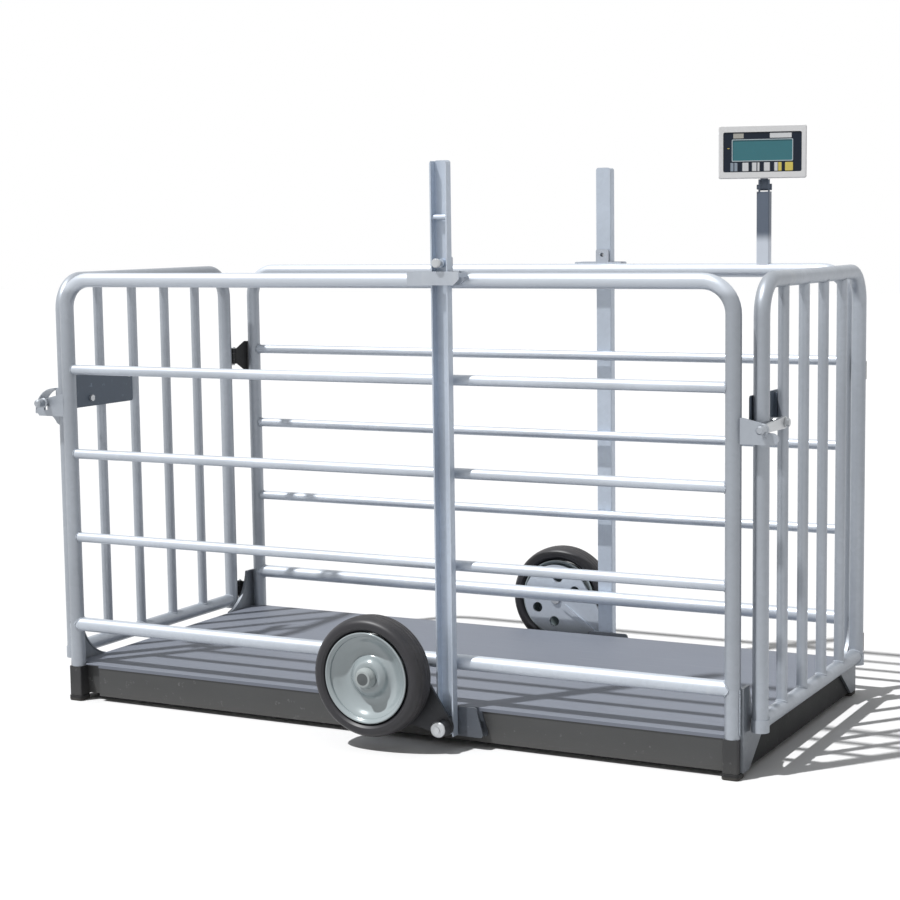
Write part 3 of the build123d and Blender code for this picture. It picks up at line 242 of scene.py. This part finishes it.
frame_zinc_and_painted_highlight = galvanised("galvanised side frame", 0.45)
frame_low, frame_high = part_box("side_frame_near")
# Painted highlight: the top rail and its bends are made paler, standing in for the sun on the tube tops.
top_rail_painted_highlight = frame_zinc_and_painted_highlight.band(frame_zinc_and_painted_highlight.height(), frame_high[2] - 0.060, frame_high[2] - 0.036)
frame_zinc_and_painted_highlight.wear(Base_Color=frame_zinc_and_painted_highlight.mix(top_rail_painted_highlight * 0.8, frame_zinc_and_painted_highlight.colour, (0.66, 0.71, 0.78)))
dress(frame_zinc_and_painted_highlight, "side_frame_near", "side_frame_far")
# Painted highlight: the bars take a much paler tone than the posts, standing in for the sun on their tops.
rail_zinc_and_painted_highlight = galvanised("galvanised side rails", 0.66)
dress(rail_zinc_and_painted_highlight, "side_rails_near", "side_rails_far")


class Growth(Graph):
    """A geometry tree that grows metal on a sketch of points or loops."""

    def __init__(self, name, sizes):
        tree = bpy.data.node_groups.new(name, "GeometryNodeTree")
        tree.interface.new_socket("Geometry", in_out="INPUT", socket_type="NodeSocketGeometry")
        tree.interface.new_socket("Geometry", in_out="OUTPUT", socket_type="NodeSocketGeometry")
        self.keys = {}
        for label, value in sizes.items():
            kind = "NodeSocketVector" if isinstance(value, tuple) else "NodeSocketFloat"
            socket = tree.interface.new_socket(label, in_out="INPUT", socket_type=kind)
            socket.default_value = value
            self.keys[label] = socket.identifier
        super().__init__(tree)
        self.entry = tree.nodes.new("NodeGroupInput")
        self.sketch = Flow(self, self.entry.outputs["Geometry"])

    def size(self, label):
        return Flow(self, self.entry.outputs[label])

    def finish(self, geometry, finish):
        real = self.node("GeometryNodeRealizeInstances", {}, {0: geometry})
        painted = self.node("GeometryNodeSetMaterial", {}, {"Geometry": real, "Material": finish.material})
        self.tree.links.new(painted.socket, self.tree.nodes.new("NodeGroupOutput").inputs[0])


def settle(name, mesh, body, smooth=True):
    mesh.name = name
    if smooth:
        mesh.polygons.foreach_set("use_smooth", [True] * len(mesh.polygons))
    piece = bpy.data.objects.new(name, mesh)
    bpy.context.scene.collection.objects.link(piece)
    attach(piece, body)
    return piece


def grown(name, growth, sketch, body, slot, smooth=True, **sizes):
    holder = bpy.data.objects.new(name + "_sketch", sketch)
    bpy.context.scene.collection.objects.link(holder)
    modifier = holder.modifiers.new("grow", "NODES")
    modifier.node_group = growth.tree
    for label, value in sizes.items():
        modifier[growth.keys[label.replace("_", " ")]] = value
    depsgraph = bpy.context.evaluated_depsgraph_get()
    mesh = bpy.data.meshes.new_from_object(holder.evaluated_get(depsgraph))
    holder.modifiers.remove(modifier)
    bpy.data.objects.remove(holder)
    return settle(name, mesh, body, smooth)


weld_zinc = Finish("galvanised weld", Metallic=0.5)
ripple = weld_zinc.clouds(300.0, 3.0)
weld_zinc.wear(
    Base_Color=weld_zinc.mix(ripple, (0.30, 0.33, 0.37), (0.54, 0.58, 0.63)), Roughness=0.34 + ripple * 0.2)

weld = Growth("weld bead", {"Bead": 0.0026, "Pitch": 0.0030})
run = weld.node("GeometryNodeMeshToCurve", {}, {"Mesh": weld.sketch})
run = weld.node("GeometryNodeResampleCurve", {"mode": "LENGTH"}, {"Curve": run, "Length": weld.size("Pitch")})
drop = weld.node("GeometryNodeMeshIcoSphere", {}, {"Radius": weld.size("Bead"), "Subdivisions": 2})
tangent = weld.node("GeometryNodeInputTangent")
turn = weld.node("FunctionNodeAlignRotationToVector", {"axis": "Z"}, {"Vector": tangent})
swell = weld.node("FunctionNodeRandomValue", {"data_type": "FLOAT"}, {2: 0.82, 3: 1.12, "Seed": 4}, out=1)
spread = weld.node("ShaderNodeCombineXYZ", {}, {"X": swell, "Y": swell, "Z": swell * 0.75})
beads = weld.node("GeometryNodeInstanceOnPoints", {}, {
    "Points": run, "Instance": drop, "Rotation": turn, "Scale": spread})
weld.finish(beads, weld_zinc)


def loops(rings):
    """Closed paths for the weld to run along."""
    mesh = bpy.data.meshes.new("weld path")
    points = []
    edges = []
    for ring in rings:
        first = len(points)
        points.extend(ring)
        edges.extend((first + i, first + (i + 1) % len(ring)) for i in range(len(ring)))
    mesh.from_pydata(points, edges, [])
    return mesh


RING_POINTS = 48
WELD_LIFT = 0.0004


def coped(centre, along, across, thin, thick):
    """Where a thin tube meets a thick one whose axis is square to both ways given."""
    along = Vector(along)
    across = Vector(across)
    third = along.cross(across)
    ring = []
    for i in range(RING_POINTS):
        t = 2 * pi * i / RING_POINTS
        side = thin * cos(t)
        reach = sqrt(max(thick ** 2 - side ** 2, 0.0))
        ring.append(Vector(centre) + along * reach + across * side + third * thin * sin(t))
    return ring


rails_low, rails_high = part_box("side_rails_near")
TUBE_R = 0.020
BAR_R = 0.014
BAR_PITCH = 0.242
MID_X = (frame_low[0] + frame_high[0]) / 2
POST_X = (frame_high[0] - frame_low[0]) / 2 - TUBE_R
POST_Y = -(frame_low[1] + frame_high[1]) / 2
RAIL_Z = frame_high[2] - TUBE_R
side_tubes = [(rails_high[2] - BAR_R - BAR_PITCH * i, BAR_R) for i in range(3)]
side_tubes.append((rails_low[2] + TUBE_R, TUBE_R))
for side, y in (("near", -POST_Y), ("far", POST_Y)):
    rings = []
    for s in (-1, 1):
        for z, thin in side_tubes:
            rings.append(coped((MID_X + s * POST_X, y, z), (-s, 0, 0), (0, 1, 0), thin, TUBE_R + WELD_LIFT))
    grown("side_welds_" + side, weld, loops(rings), "crate", "galvanised")

# Corner gussets: thick plate with a hollow curve and a narrow fold, welded over
# the post, the foot block and the end channel. Galvanised, much duller than the
# tube, with the weld to the post left as two rough seams.

gusset_zinc = galvanised("galvanised plate", 0.27)
dress(gusset_zinc, "corner_gussets")
seam_heights = (0.112, 0.150, 0.190, 0.224)
rings = []
for sx in (-1, 1):
    for sy in (-1, 1):
        x = MID_X + sx * (POST_X + TUBE_R + 0.0005)
        for edge in (-0.006, 0.006):
            seam = [(x, sy * (POST_Y + edge), z) for z in seam_heights]
            rings.append(seam + seam[-2:0:-1])
grown("gusset_welds", weld, loops(rings), "crate", "galvanised", Bead=0.0022)

# Doors: the same bent tube standing on end, with a bottom rail and four upright
# bars coped between, and pale end collars pushed over the two stiles. Each door
# hangs on two hinges and swings outwards.

tube_zinc = galvanised("galvanised door tube", 0.47)
dress(tube_zinc, "door_frame_left", "door_frame_right", "door_bars_left", "door_bars_right")
DOOR_X = 1.054
STILE_NEAR = -0.435
STILE_FAR = 0.395
DOOR_RAIL_Z = 0.137
COLLAR_R = 0.0225
DOOR_BARS = 4
bar_step = (STILE_FAR - STILE_NEAR) / (DOOR_BARS + 1)
door_bars = [STILE_NEAR + bar_step * (i + 1) for i in range(DOOR_BARS)]
for side, s in (("left", -1), ("right", 1)):
    x = MID_X + s * DOOR_X
    rings = []
    for y in door_bars:
        rings.append(coped((x, y, DOOR_RAIL_Z), (0, 0, 1), (1, 0, 0), BAR_R, TUBE_R + WELD_LIFT))
        rings.append(coped((x, y, RAIL_Z), (0, 0, -1), (1, 0, 0), BAR_R, TUBE_R + WELD_LIFT))
    for y, way in ((STILE_NEAR, 1), (STILE_FAR, -1)):
        rings.append(coped((x, y, DOOR_RAIL_Z), (0, way, 0), (1, 0, 0), TUBE_R, COLLAR_R))
    grown("door_welds_" + side, weld, loops(rings), "door_" + side, "galvanised")

# Hinges: cut leaves with rolled knuckles, wrapped on the post above and lugged
# to the gusset below, turning on headed pins. Dark steel, polished and greasy
# where the knuckles rub.

hinge_steel = dipped_steel("hinge steel", (0.040, 0.041, 0.043), (0.14, 0.12, 0.10))
dress(hinge_steel, "hinge_post_leaves", "hinge_door_leaves_left", "hinge_door_leaves_right")


def bright_zinc(name, tone):
    look = Finish(name, Metallic=0.75)
    cloud = look.clouds(30.0)
    rub = look.clouds(180.0, 3.0)
    dull = tuple(c * 0.78 for c in tone)
    look.wear(Base_Color=look.mix(cloud, dull, tone), Roughness=0.26 + cloud * 0.18 + rub * 0.08)
    look.bump(rub, 0.08, 0.0005)
    return look


pin_zinc = bright_zinc("zinc plated pins", (0.58, 0.59, 0.60))
dress(pin_zinc, "hinge_pins")

# Door latches: a backing plate behind the stile, a tapered bar on a spaced
# pivot bolt, and a notched keeper on the post. The left one has a quarter-round
# hood over the bar. Dark plates, galvanised hood and keepers, plated bar and grip.

latch_plate = dipped_steel("latch plate", (0.118, 0.148, 0.190), (0.30, 0.31, 0.32))
dress(latch_plate, "latch_plate_left", "latch_plate_right")
hood_zinc = galvanised("galvanised hood", 0.50)
dress(hood_zinc, "latch_hood_left", "latch_keepers")
bar_zinc = bright_zinc("zinc plated bar", (0.60, 0.62, 0.64))
dress(bar_zinc, "latch_bar_left", "latch_bar_right", "latch_bolt_left", "latch_bolt_right")
grip_zinc = bright_zinc("zinc plated grips", (0.44, 0.47, 0.51))
dress(grip_zinc, "latch_grip_left", "latch_grip_right")

screw = Growth("hex screw", {"Flats": 0.0065, "Head": 0.0045, "Washer": 0.0095, "Turned": (0.0, 0.0, 0.0)})
head = screw.node("GeometryNodeMeshCylinder", {}, {
    "Vertices": 6, "Radius": screw.size("Flats"), "Depth": screw.size("Head")})
head_up = screw.node("ShaderNodeCombineXYZ", {}, {"Z": screw.size("Head") * 0.5 + 0.001})
head = screw.node("GeometryNodeTransform", {}, {"Geometry": head, "Translation": head_up})
crown = screw.node("GeometryNodeMeshCone", {}, {
    "Vertices": 12, "Radius Top": screw.size("Flats") * 0.6, "Radius Bottom": screw.size("Flats") * 0.86,
    "Depth": screw.size("Head") * 0.25})
crown_up = screw.node("ShaderNodeCombineXYZ", {}, {"Z": screw.size("Head") + 0.001})
crown = screw.node("GeometryNodeTransform", {}, {"Geometry": crown, "Translation": crown_up})
washer = screw.node("GeometryNodeMeshCylinder", {}, {
    "Vertices": 24, "Radius": screw.size("Washer"), "Depth": 0.002})
washer = screw.node("GeometryNodeTransform", {}, {"Geometry": washer, "Translation": (0, 0, 0.0006)})
whole = screw.node("GeometryNodeJoinGeometry")
for part in (washer, head, crown):
    screw.tree.links.new(part.socket, whole.socket.node.inputs[0])
stood = screw.node("FunctionNodeEulerToRotation", {}, {0: screw.size("Turned")})
heads = screw.node("GeometryNodeInstanceOnPoints", {}, {
    "Points": screw.sketch, "Instance": whole, "Rotation": stood})
screw_zinc = bright_zinc("zinc plated screws", (0.62, 0.63, 0.64))
screw.finish(heads, screw_zinc)


def dots(points):
    mesh = bpy.data.meshes.new("screw places")
    mesh.from_pydata([Vector(p) for p in points], [], [])
    return mesh


OUT_LEFT = (0.0, -pi / 2, 0.0)
OUT_RIGHT = (0.0, pi / 2, 0.0)
for side, facing in (("left", OUT_RIGHT), ("right", OUT_LEFT)):
    low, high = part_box("latch_plate_" + side)
    inner_x = high[0] if side == "left" else low[0]
    places = [(inner_x, y, high[2] - 0.014) for y in (low[1] + 0.024, high[1] - 0.016)]
    grown("latch_screws_" + side, screw, dots(places), "door_" + side, "zinc", False, Turned=facing)

# Lift levers: a tall open channel on a pivot tube, with a teardrop crank arm
# that carries the wheel. A spring-less lock pin with a turned knob goes through
# the web into a plate on the top rail. Galvanised channel; the arms are dark
# dipped steel, and the far arm carries painted light: a pale lit copy of the near one.

lever_zinc = galvanised("galvanised lever", 0.62, 1.35)
dress(lever_zinc, "lever_near", "lever_far")
catch_zinc = galvanised("galvanised catch", 0.56)
dress(catch_zinc, "catch_plates")
arm_steel = dipped_steel("crank arm steel", (0.060, 0.063, 0.070), yard_dust)
dress(arm_steel, "crank_arm_near")
# Painted light: the far arm is made pale galvanised, a lit copy of the dark near arm.
far_arm_painted_light = galvanised("galvanised crank arm", 0.60)
dress(far_arm_painted_light, "crank_arm_far")
bracket_steel = dipped_steel("pivot bracket steel", (0.125, 0.140, 0.165), yard_dust)
dress(bracket_steel, "pivot_brackets")
shaft_zinc = bright_zinc("zinc plated shafts", (0.60, 0.62, 0.64))
dress(shaft_zinc, "stub_shafts", "axle_near", "axle_far", "lock_pin_near", "lock_pin_far")

# Wheels: a round-shouldered air tyre on a rolled and pressed steel wheel that is
# enamelled pale grey-green, with a pale plastic cup over the axle nut that is dark
# on its face. The tyre is scuffed smooth, the enamel glossy with chips by the lip.

axle_low, axle_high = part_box("axle_near")
tyre_low, tyre_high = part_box("tyre_near")
WHEEL_X = (axle_low[0] + axle_high[0]) / 2
WHEEL_Y = -(tyre_low[1] + tyre_high[1]) / 2
WHEEL_Z = (axle_low[2] + axle_high[2]) / 2
TYRE_R = tyre_high[0] - WHEEL_X
TYRE_HALF = 0.043
RIM_R = 0.120
SHEET = 0.003
CUP_FACE_R = 0.016
GROOVES = (-0.020, -0.007, 0.007, 0.020)
GROOVE = 0.0022


def fair(points, steps=6):
    """A smooth run through points of radius and depth."""
    run = []
    for i in range(len(points) - 1):
        places = [max(0, min(len(points) - 1, i + k)) for k in (-1, 0, 1, 2)]
        before, start, end, after = (Vector(points[place]) for place in places)
        slope = end - before
        bend = 2 * before - 5 * start + 4 * end - after
        twist = 3 * start - before - 3 * end + after
        for j in range(steps):
            t = j / steps
            run.append(0.5 * (2 * start + slope * t + bend * t ** 2 + twist * t ** 3))
    return run + [Vector(points[-1])]


def sheet(points):
    """Both faces of a pressed sheet that follows a run."""
    run = fair(points)
    faces = ([], [])
    for i, point in enumerate(run):
        way = (run[min(i + 1, len(run) - 1)] - run[max(i - 1, 0)]).normalized()
        off = Vector((way.y, -way.x)) * (SHEET / 2)
        faces[0].append(point + off)
        faces[1].append(point - off)
    return faces[0] + faces[1][::-1]


def turned(name, sections, side, finish, around=128):
    """Sections of radius and depth outboard, each turned about the axle."""
    shape = bmesh.new()
    for section in sections:
        rings = []
        for k in range(around):
            t = 2 * pi * k / around
            rings.append([
                shape.verts.new((WHEEL_X + r * sin(t), side * (WHEEL_Y + depth), WHEEL_Z + r * cos(t)))
                for r, depth in section])
        for k in range(around):
            one, two = rings[k], rings[(k + 1) % around]
            for i in range(len(section)):
                j = (i + 1) % len(section)
                shape.faces.new((one[i], one[j], two[j], two[i]))
    bmesh.ops.recalc_face_normals(shape, faces=shape.faces)
    mesh = bpy.data.meshes.new(name)
    shape.to_mesh(mesh)
    shape.free()
    mesh.materials.append(finish.material)
    return settle(name, mesh, "wheel_near" if side < 0 else "wheel_far")


def power(value, share):
    """A signed power, which makes an ellipse squarer."""
    return (1 if value > 0 else -1) * abs(value) ** share


def tyre_section(count=120):
    section = []
    bead = RIM_R - 0.002
    middle = (TYRE_R + bead) / 2
    tall = (TYRE_R - bead) / 2
    for k in range(count):
        t = 2 * pi * k / count
        r = middle + tall * power(cos(t), 0.84)
        depth = TYRE_HALF * power(sin(t), 0.80)
        if r > middle:
            for groove in GROOVES:
                r -= GROOVE * max(0.0, 1 - abs((depth - groove) / GROOVE) ** 4)
        elif abs(r - RIM_R - 0.012) < 0.0016:
            depth += 0.0009 if depth > 0 else -0.0009
        section.append((r, depth))
    return section


def tyre_look(name, hub):
    look = Finish(name)
    grain = look.clouds(180.0, 3.0)
    dust = look.clouds(11.0, 6.0)
    crown = look.band(look.from_axle(hub), TYRE_R - 0.010, TYRE_R)
    colour = look.mix(dust, (0.012, 0.012, 0.015), (0.029, 0.028, 0.033))
    colour = look.mix(crown * look.band(dust, 0.3, 0.7) * 0.40, colour, (0.095, 0.090, 0.088))
    look.wear(Base_Color=colour, Roughness=0.36 + dust * 0.16 + crown * 0.16)
    look.bump(grain, 0.10, 0.0005)
    return look


def enamel_look(name, hub):
    look = Finish(name, Metallic=0.10, Coat_Weight=0.8, Coat_Roughness=0.05)
    haze = look.clouds(7.0)
    chips = look.band(look.clouds(75.0, 7.0, rough=0.75), 0.67, 0.71)
    lip = look.band(look.from_axle(hub), RIM_R - 0.012, RIM_R - 0.004)
    colour = look.mix(haze, (0.31, 0.36, 0.375), (0.41, 0.465, 0.48))
    colour = look.mix(chips * (0.25 + lip * 0.5), colour, (0.16, 0.15, 0.14))
    look.wear(Base_Color=colour, Roughness=0.14 + haze * 0.12 + chips * 0.3)
    look.bump(haze * 0.8 - chips * 0.3, 0.06, 0.001)
    return look


half_barrel = [(0.1195, 0.0375), (0.1180, 0.0388), (0.1145, 0.0365), (0.1100, 0.0320), (0.1098, 0.0200)]
other_half = [(r, -depth) for r, depth in reversed(half_barrel)]
barrel = sheet(half_barrel + [(0.1098, 0.0)] + other_half)
disc = sheet([
    (0.025, 0.0290), (0.032, 0.0292), (0.039, 0.0285), (0.047, 0.0215), (0.055, 0.0115),
    (0.064, 0.0075), (0.076, 0.0080), (0.090, 0.0140), (0.102, 0.0230), (0.1090, 0.0275)])
boss = [
    (0.0105, -0.0445), (0.0200, -0.0450), (0.0220, -0.0430), (0.0220, 0.0150), (0.0400, 0.0225),
    (0.0400, 0.0275), (0.0240, 0.0275), (0.0240, 0.0365), (0.0105, 0.0365)]
for side, s in (("near", -1), ("far", 1)):
    hub = (WHEEL_X, s * WHEEL_Y, WHEEL_Z)
    rubber = tyre_look("tyre rubber " + side, hub)
    tyre = turned("tyre_casing_" + side, [tyre_section()], s, rubber, 160)
    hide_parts("tyre_" + side)
    enamel = enamel_look("wheel enamel " + side, hub)
    pan = turned("wheel_pan_" + side, [barrel, disc, boss], s, enamel)
    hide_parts("rim_" + side)

    cup = Finish("hub cup plastic " + side, Coat_Weight=0.3)
    cup_cloud = cup.clouds(30.0)
    skirt = cup.band(cup.from_axle(hub), CUP_FACE_R - 0.0005, CUP_FACE_R + 0.0005)
    centre = cup.mix(cup_cloud, (0.060, 0.070, 0.074), (0.105, 0.118, 0.122))
    cup.wear(Base_Color=cup.mix(skirt, centre, (0.42, 0.46, 0.46)), Roughness=0.26 + cup_cloud * 0.2)
    dress(cup, "hub_cap_" + side)

# Weight indicator: a square post on the far top rail, bare zinc, with a painted
# shadow of the head in slate grey over its upper part, carries a tilting plastic
# case with a white frame, a dark blue film panel, a teal display in a light frame,
# two bare note strips and a lamp. The foot of the case carries the same painted shadow.

post_low, post_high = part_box("indicator_post")
bezel_low, bezel_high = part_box("indicator_bezel")
# Painted shadow: from about 1.3 m up, the post, bracket and knob are slate grey in place of the head's shadow;
# below that they are bare zinc.
BARE_BELOW_SHADOW = 1.300
PAINTED_SHADOW_FROM = 1.335
post_zinc_and_painted_shadow = Finish("indicator post zinc", Metallic=0.30)
drawn = post_zinc_and_painted_shadow.clouds(30.0, 3.0, post_zinc_and_painted_shadow.stretched(1, 1, 0.06))
bare_below_painted_shadow = 1 - post_zinc_and_painted_shadow.band(post_zinc_and_painted_shadow.height() + drawn * 0.010, BARE_BELOW_SHADOW, PAINTED_SHADOW_FROM)
painted_shadow_slate = post_zinc_and_painted_shadow.mix(drawn, (0.105, 0.130, 0.175), (0.135, 0.165, 0.215))
post_tone_with_painted_shadow = post_zinc_and_painted_shadow.mix(bare_below_painted_shadow, painted_shadow_slate, (0.64, 0.69, 0.77))
post_zinc_and_painted_shadow.wear(Base_Color=post_tone_with_painted_shadow, Roughness=0.34 + drawn * 0.10)
post_zinc_and_painted_shadow.bump(drawn, 0.06, 0.0005)
dress(post_zinc_and_painted_shadow, "indicator_post", "indicator_bracket", "indicator_tilt_knob")


def moulded(name, tone, rough, coat=0.0):
    look = Finish(name, Coat_Weight=coat, Coat_Roughness=0.05)
    cloud = look.clouds(18.0)
    peel = look.clouds(500.0, 2.0)
    dull = tuple(c * 0.95 for c in tone)
    look.wear(Base_Color=look.mix(cloud, dull, tone), Roughness=rough + cloud * 0.12)
    look.bump(peel, 0.05, 0.0003)
    return look


case_plastic_and_painted_shadow = moulded("indicator case plastic", (0.060, 0.062, 0.066), 0.45)
# Painted shadow: below the frame's lower edge the case is slate grey, carrying on the post's painted shadow.
painted_shadow_lug = 1 - case_plastic_and_painted_shadow.band(case_plastic_and_painted_shadow.height(), bezel_low[2] - 0.002, bezel_low[2] + 0.004)
case_cloud = case_plastic_and_painted_shadow.clouds(18.0)
case_tone = case_plastic_and_painted_shadow.mix(case_cloud, (0.050, 0.052, 0.056), (0.064, 0.066, 0.070))
case_plastic_and_painted_shadow.wear(Base_Color=case_plastic_and_painted_shadow.mix(painted_shadow_lug, case_tone, (0.115, 0.142, 0.188)))
dress(case_plastic_and_painted_shadow, "indicator_case")
dress(moulded("indicator frame plastic", (0.93, 0.93, 0.93), 0.30), "indicator_bezel")
panel_film = moulded("indicator panel film", (0.008, 0.016, 0.032), 0.24)
panel_film.wear(Specular_IOR_Level=0.25)
dress(panel_film, "indicator_panel")
display_glass = moulded("display glass", (0.052, 0.215, 0.250), 0.14)
display_glass.wear(Specular_IOR_Level=0.35)
dress(display_glass, "indicator_screen")

HEAD_X = (post_low[0] + post_high[0]) / 2
HEAD_Y = (post_low[1] + post_high[1]) / 2
HEAD_Z = (bezel_low[2] + bezel_high[2]) / 2
HEAD_MID = -0.0045
HEAD_TURN = radians(16.0)
PANEL_FACE = -0.023
ACROSS = Vector((cos(HEAD_TURN), sin(HEAD_TURN), 0.0))
INWARD = Vector((-sin(HEAD_TURN), cos(HEAD_TURN), 0.0))


def on_head(u, v, w):
    """A place on the head: u across it, v into it and w up from its middle."""
    return Vector((HEAD_X, HEAD_Y, HEAD_Z)) + ACROSS * (HEAD_MID + u) + INWARD * v + Vector((0, 0, w))


def rounded(left, right, low, high, corner):
    """A rectangle's outline with seven points round each corner."""
    ring = []
    corners = ((right, high, 0), (left, high, 90), (left, low, 180), (right, low, 270))
    for u, w, start in corners:
        u += -corner if u == right else corner
        w += -corner if w == high else corner
        turns = [radians(start + 15 * k) for k in range(7)]
        ring += [(u + corner * cos(t), w + corner * sin(t)) for t in turns]
    return ring


def film(name, outer, inner, thick, finish):
    """A thin film or frame on the panel, with a window if there is an inner ring."""
    shape = bmesh.new()
    front = [shape.verts.new(on_head(u, PANEL_FACE - thick, w)) for u, w in outer]
    back = [shape.verts.new(on_head(u, PANEL_FACE, w)) for u, w in outer]
    count = len(outer)
    for k in range(count):
        shape.faces.new((front[k], front[(k + 1) % count], back[(k + 1) % count], back[k]))
    if inner:
        near = [shape.verts.new(on_head(u, PANEL_FACE - thick, w)) for u, w in inner]
        deep = [shape.verts.new(on_head(u, PANEL_FACE, w)) for u, w in inner]
        for k in range(count):
            j = (k + 1) % count
            shape.faces.new((near[k], deep[k], deep[j], near[j]))
            shape.faces.new((front[k], near[k], near[j], front[j]))
            shape.faces.new((back[k], back[j], deep[j], deep[k]))
    else:
        shape.faces.new(front)
        shape.faces.new(back)
    bmesh.ops.recalc_face_normals(shape, faces=shape.faces)
    mesh = bpy.data.meshes.new(name)
    shape.to_mesh(mesh)
    shape.free()
    mesh.materials.append(finish.material)
    return settle(name, mesh, "indicator_head", False)


note_white = moulded("note strip film", (0.84, 0.85, 0.86), 0.35)
note_beige = moulded("note strip beige", (0.50, 0.49, 0.44), 0.40)
frame_line = moulded("display frame line", (0.56, 0.66, 0.70), 0.25)
lamp_amber = moulded("lamp amber", (0.62, 0.50, 0.12), 0.20, 0.6)
strip_right = rounded(0.021, 0.082, 0.0390, 0.0530, 0.001)
strip_left = rounded(-0.082, -0.053, 0.0390, 0.0530, 0.001)
frame_outside = rounded(-0.0862, 0.0862, -0.0262, 0.0362, 0.0035)
frame_inside = rounded(-0.0840, 0.0840, -0.0240, 0.0340, 0.0030)
lamp_outline = rounded(-0.0990, -0.0925, 0.0095, 0.0120, 0.0012)
film("note_strip_right", strip_right, None, 0.0004, note_white)
film("note_strip_left", strip_left, None, 0.0004, note_beige)
film("display_frame", frame_outside, frame_inside, 0.0006, frame_line)
film("lamp", lamp_outline, None, 0.0008, lamp_amber)

# Keys: moulded caps that stand just proud of the panel film. Bare bars in place
# of words: a grey-blue pair, three white ones, a white and yellow one, a yellow.

SOFT_EDGE = 0.0003
key_places = [-0.0800, -0.0475, -0.0185, 0.0130, 0.0440, 0.0750]
key_blue = (0.30, 0.36, 0.43)
key_white = (0.78, 0.79, 0.80)
key_yellow = (0.78, 0.64, 0.13)
navy = (0.016, 0.028, 0.050)
key_bars = [
    [(-0.0095, -0.0015, key_blue), (0.0015, 0.0095, key_blue)],
    [(-0.0085, 0.0085, key_white)],
    [(-0.0100, 0.0020, key_white), (0.0050, 0.0105, key_white)],
    [(-0.0080, 0.0080, key_white)],
    [(-0.0100, -0.0010, key_white), (0.0010, 0.0100, key_yellow)],
    [(-0.0110, 0.0110, key_yellow)],
]
for i, (place, bars) in enumerate(zip(key_places, key_bars)):
    look = Finish("key %d" % (i + 1), Coat_Weight=0.3, Coat_Roughness=0.08)
    middle = tuple(on_head(place, 0.0, 0.0))
    shifted = look.node("ShaderNodeVectorMath", {"operation": "SUBTRACT"}, {0: look.place, 1: middle})
    along = look.node("ShaderNodeVectorMath", {"operation": "DOT_PRODUCT"}, {
        0: shifted, 1: tuple(ACROSS)}, out="Value")
    cloud = look.clouds(60.0)
    colour = look.mix(cloud, tuple(c * 0.8 for c in navy), navy)
    for low, high, tone in bars:
        begun = look.band(along, low - SOFT_EDGE, low + SOFT_EDGE)
        ended = look.band(along, high - SOFT_EDGE, high + SOFT_EDGE)
        colour = look.mix(begun * (1 - ended), colour, tone)
    look.wear(Base_Color=colour, Roughness=0.26 + cloud * 0.16)
    look.bump(look.clouds(500.0, 2.0), 0.05, 0.0003)
    dress(look, "key_%d" % (i + 1))

# Stage: a pale floor, the camera where the photograph was taken, a low fill from
# the sky all round and one soft sun from the front and left, high up.

YARD = 30
ground = bpy.data.meshes.new("ground")
ground.from_pydata([(-YARD, -YARD, 0), (YARD, -YARD, 0), (YARD, YARD, 0), (-YARD, YARD, 0)], [], [(0, 1, 2, 3)])
floor = bpy.data.objects.new("ground", ground)
bpy.context.scene.collection.objects.link(floor)
pale = Finish("pale ground", Roughness=0.9)
pale.wear(Base_Color=pale.mix(pale.looked_at(), (0.36, 0.36, 0.37), (0.91, 0.91, 0.91)))
ground.materials.append(pale.material)

world = bpy.data.worlds.new("sky")
world.use_nodes = True
bpy.context.scene.world = world
sky = Graph(world.node_tree)
backdrop = world.node_tree.nodes["Background"]
SKY_FILL = 0.25
sky.put(backdrop.inputs["Color"], (1.0, 1.0, 1.0, 1.0))
sky.put(backdrop.inputs["Strength"], SKY_FILL + sky.looked_at() * (1 - SKY_FILL))

sun = bpy.data.lights.new("sun", "SUN")
sun.energy = 3.3
sun.angle = radians(1.6)
sun_object = bpy.data.objects.new("sun", sun)
sun_object.rotation_euler = Vector((-0.31, -0.40, 0.86)).to_track_quat("Z", "Y").to_euler()
bpy.context.scene.collection.objects.link(sun_object)

YAW = radians(-27.626)
PITCH = radians(6.491)
ROLL = radians(-0.776)
forward = Vector((sin(YAW) * cos(PITCH), cos(YAW) * cos(PITCH), -sin(PITCH)))
level = forward.cross(Vector((0, 0, 1))).normalized()
above = level.cross(forward)
right = level * cos(ROLL) + above * sin(ROLL)
up = above * cos(ROLL) - level * sin(ROLL)
lens = bpy.data.cameras.new("camera")
lens.lens = 79.735
lens.sensor_width = 36.0
lens.clip_end = 100.0
STAND = (2.60847 + MID_X, -5.03042, 1.36529)
camera = bpy.data.objects.new("camera", lens)
camera.matrix_world = Matrix.Translation(STAND) @ Matrix((right, up, -forward)).transposed().to_4x4()
bpy.context.scene.collection.objects.link(camera)
bpy.context.scene.camera = camera
bpy.context.scene.view_settings.view_transform = "Standard"
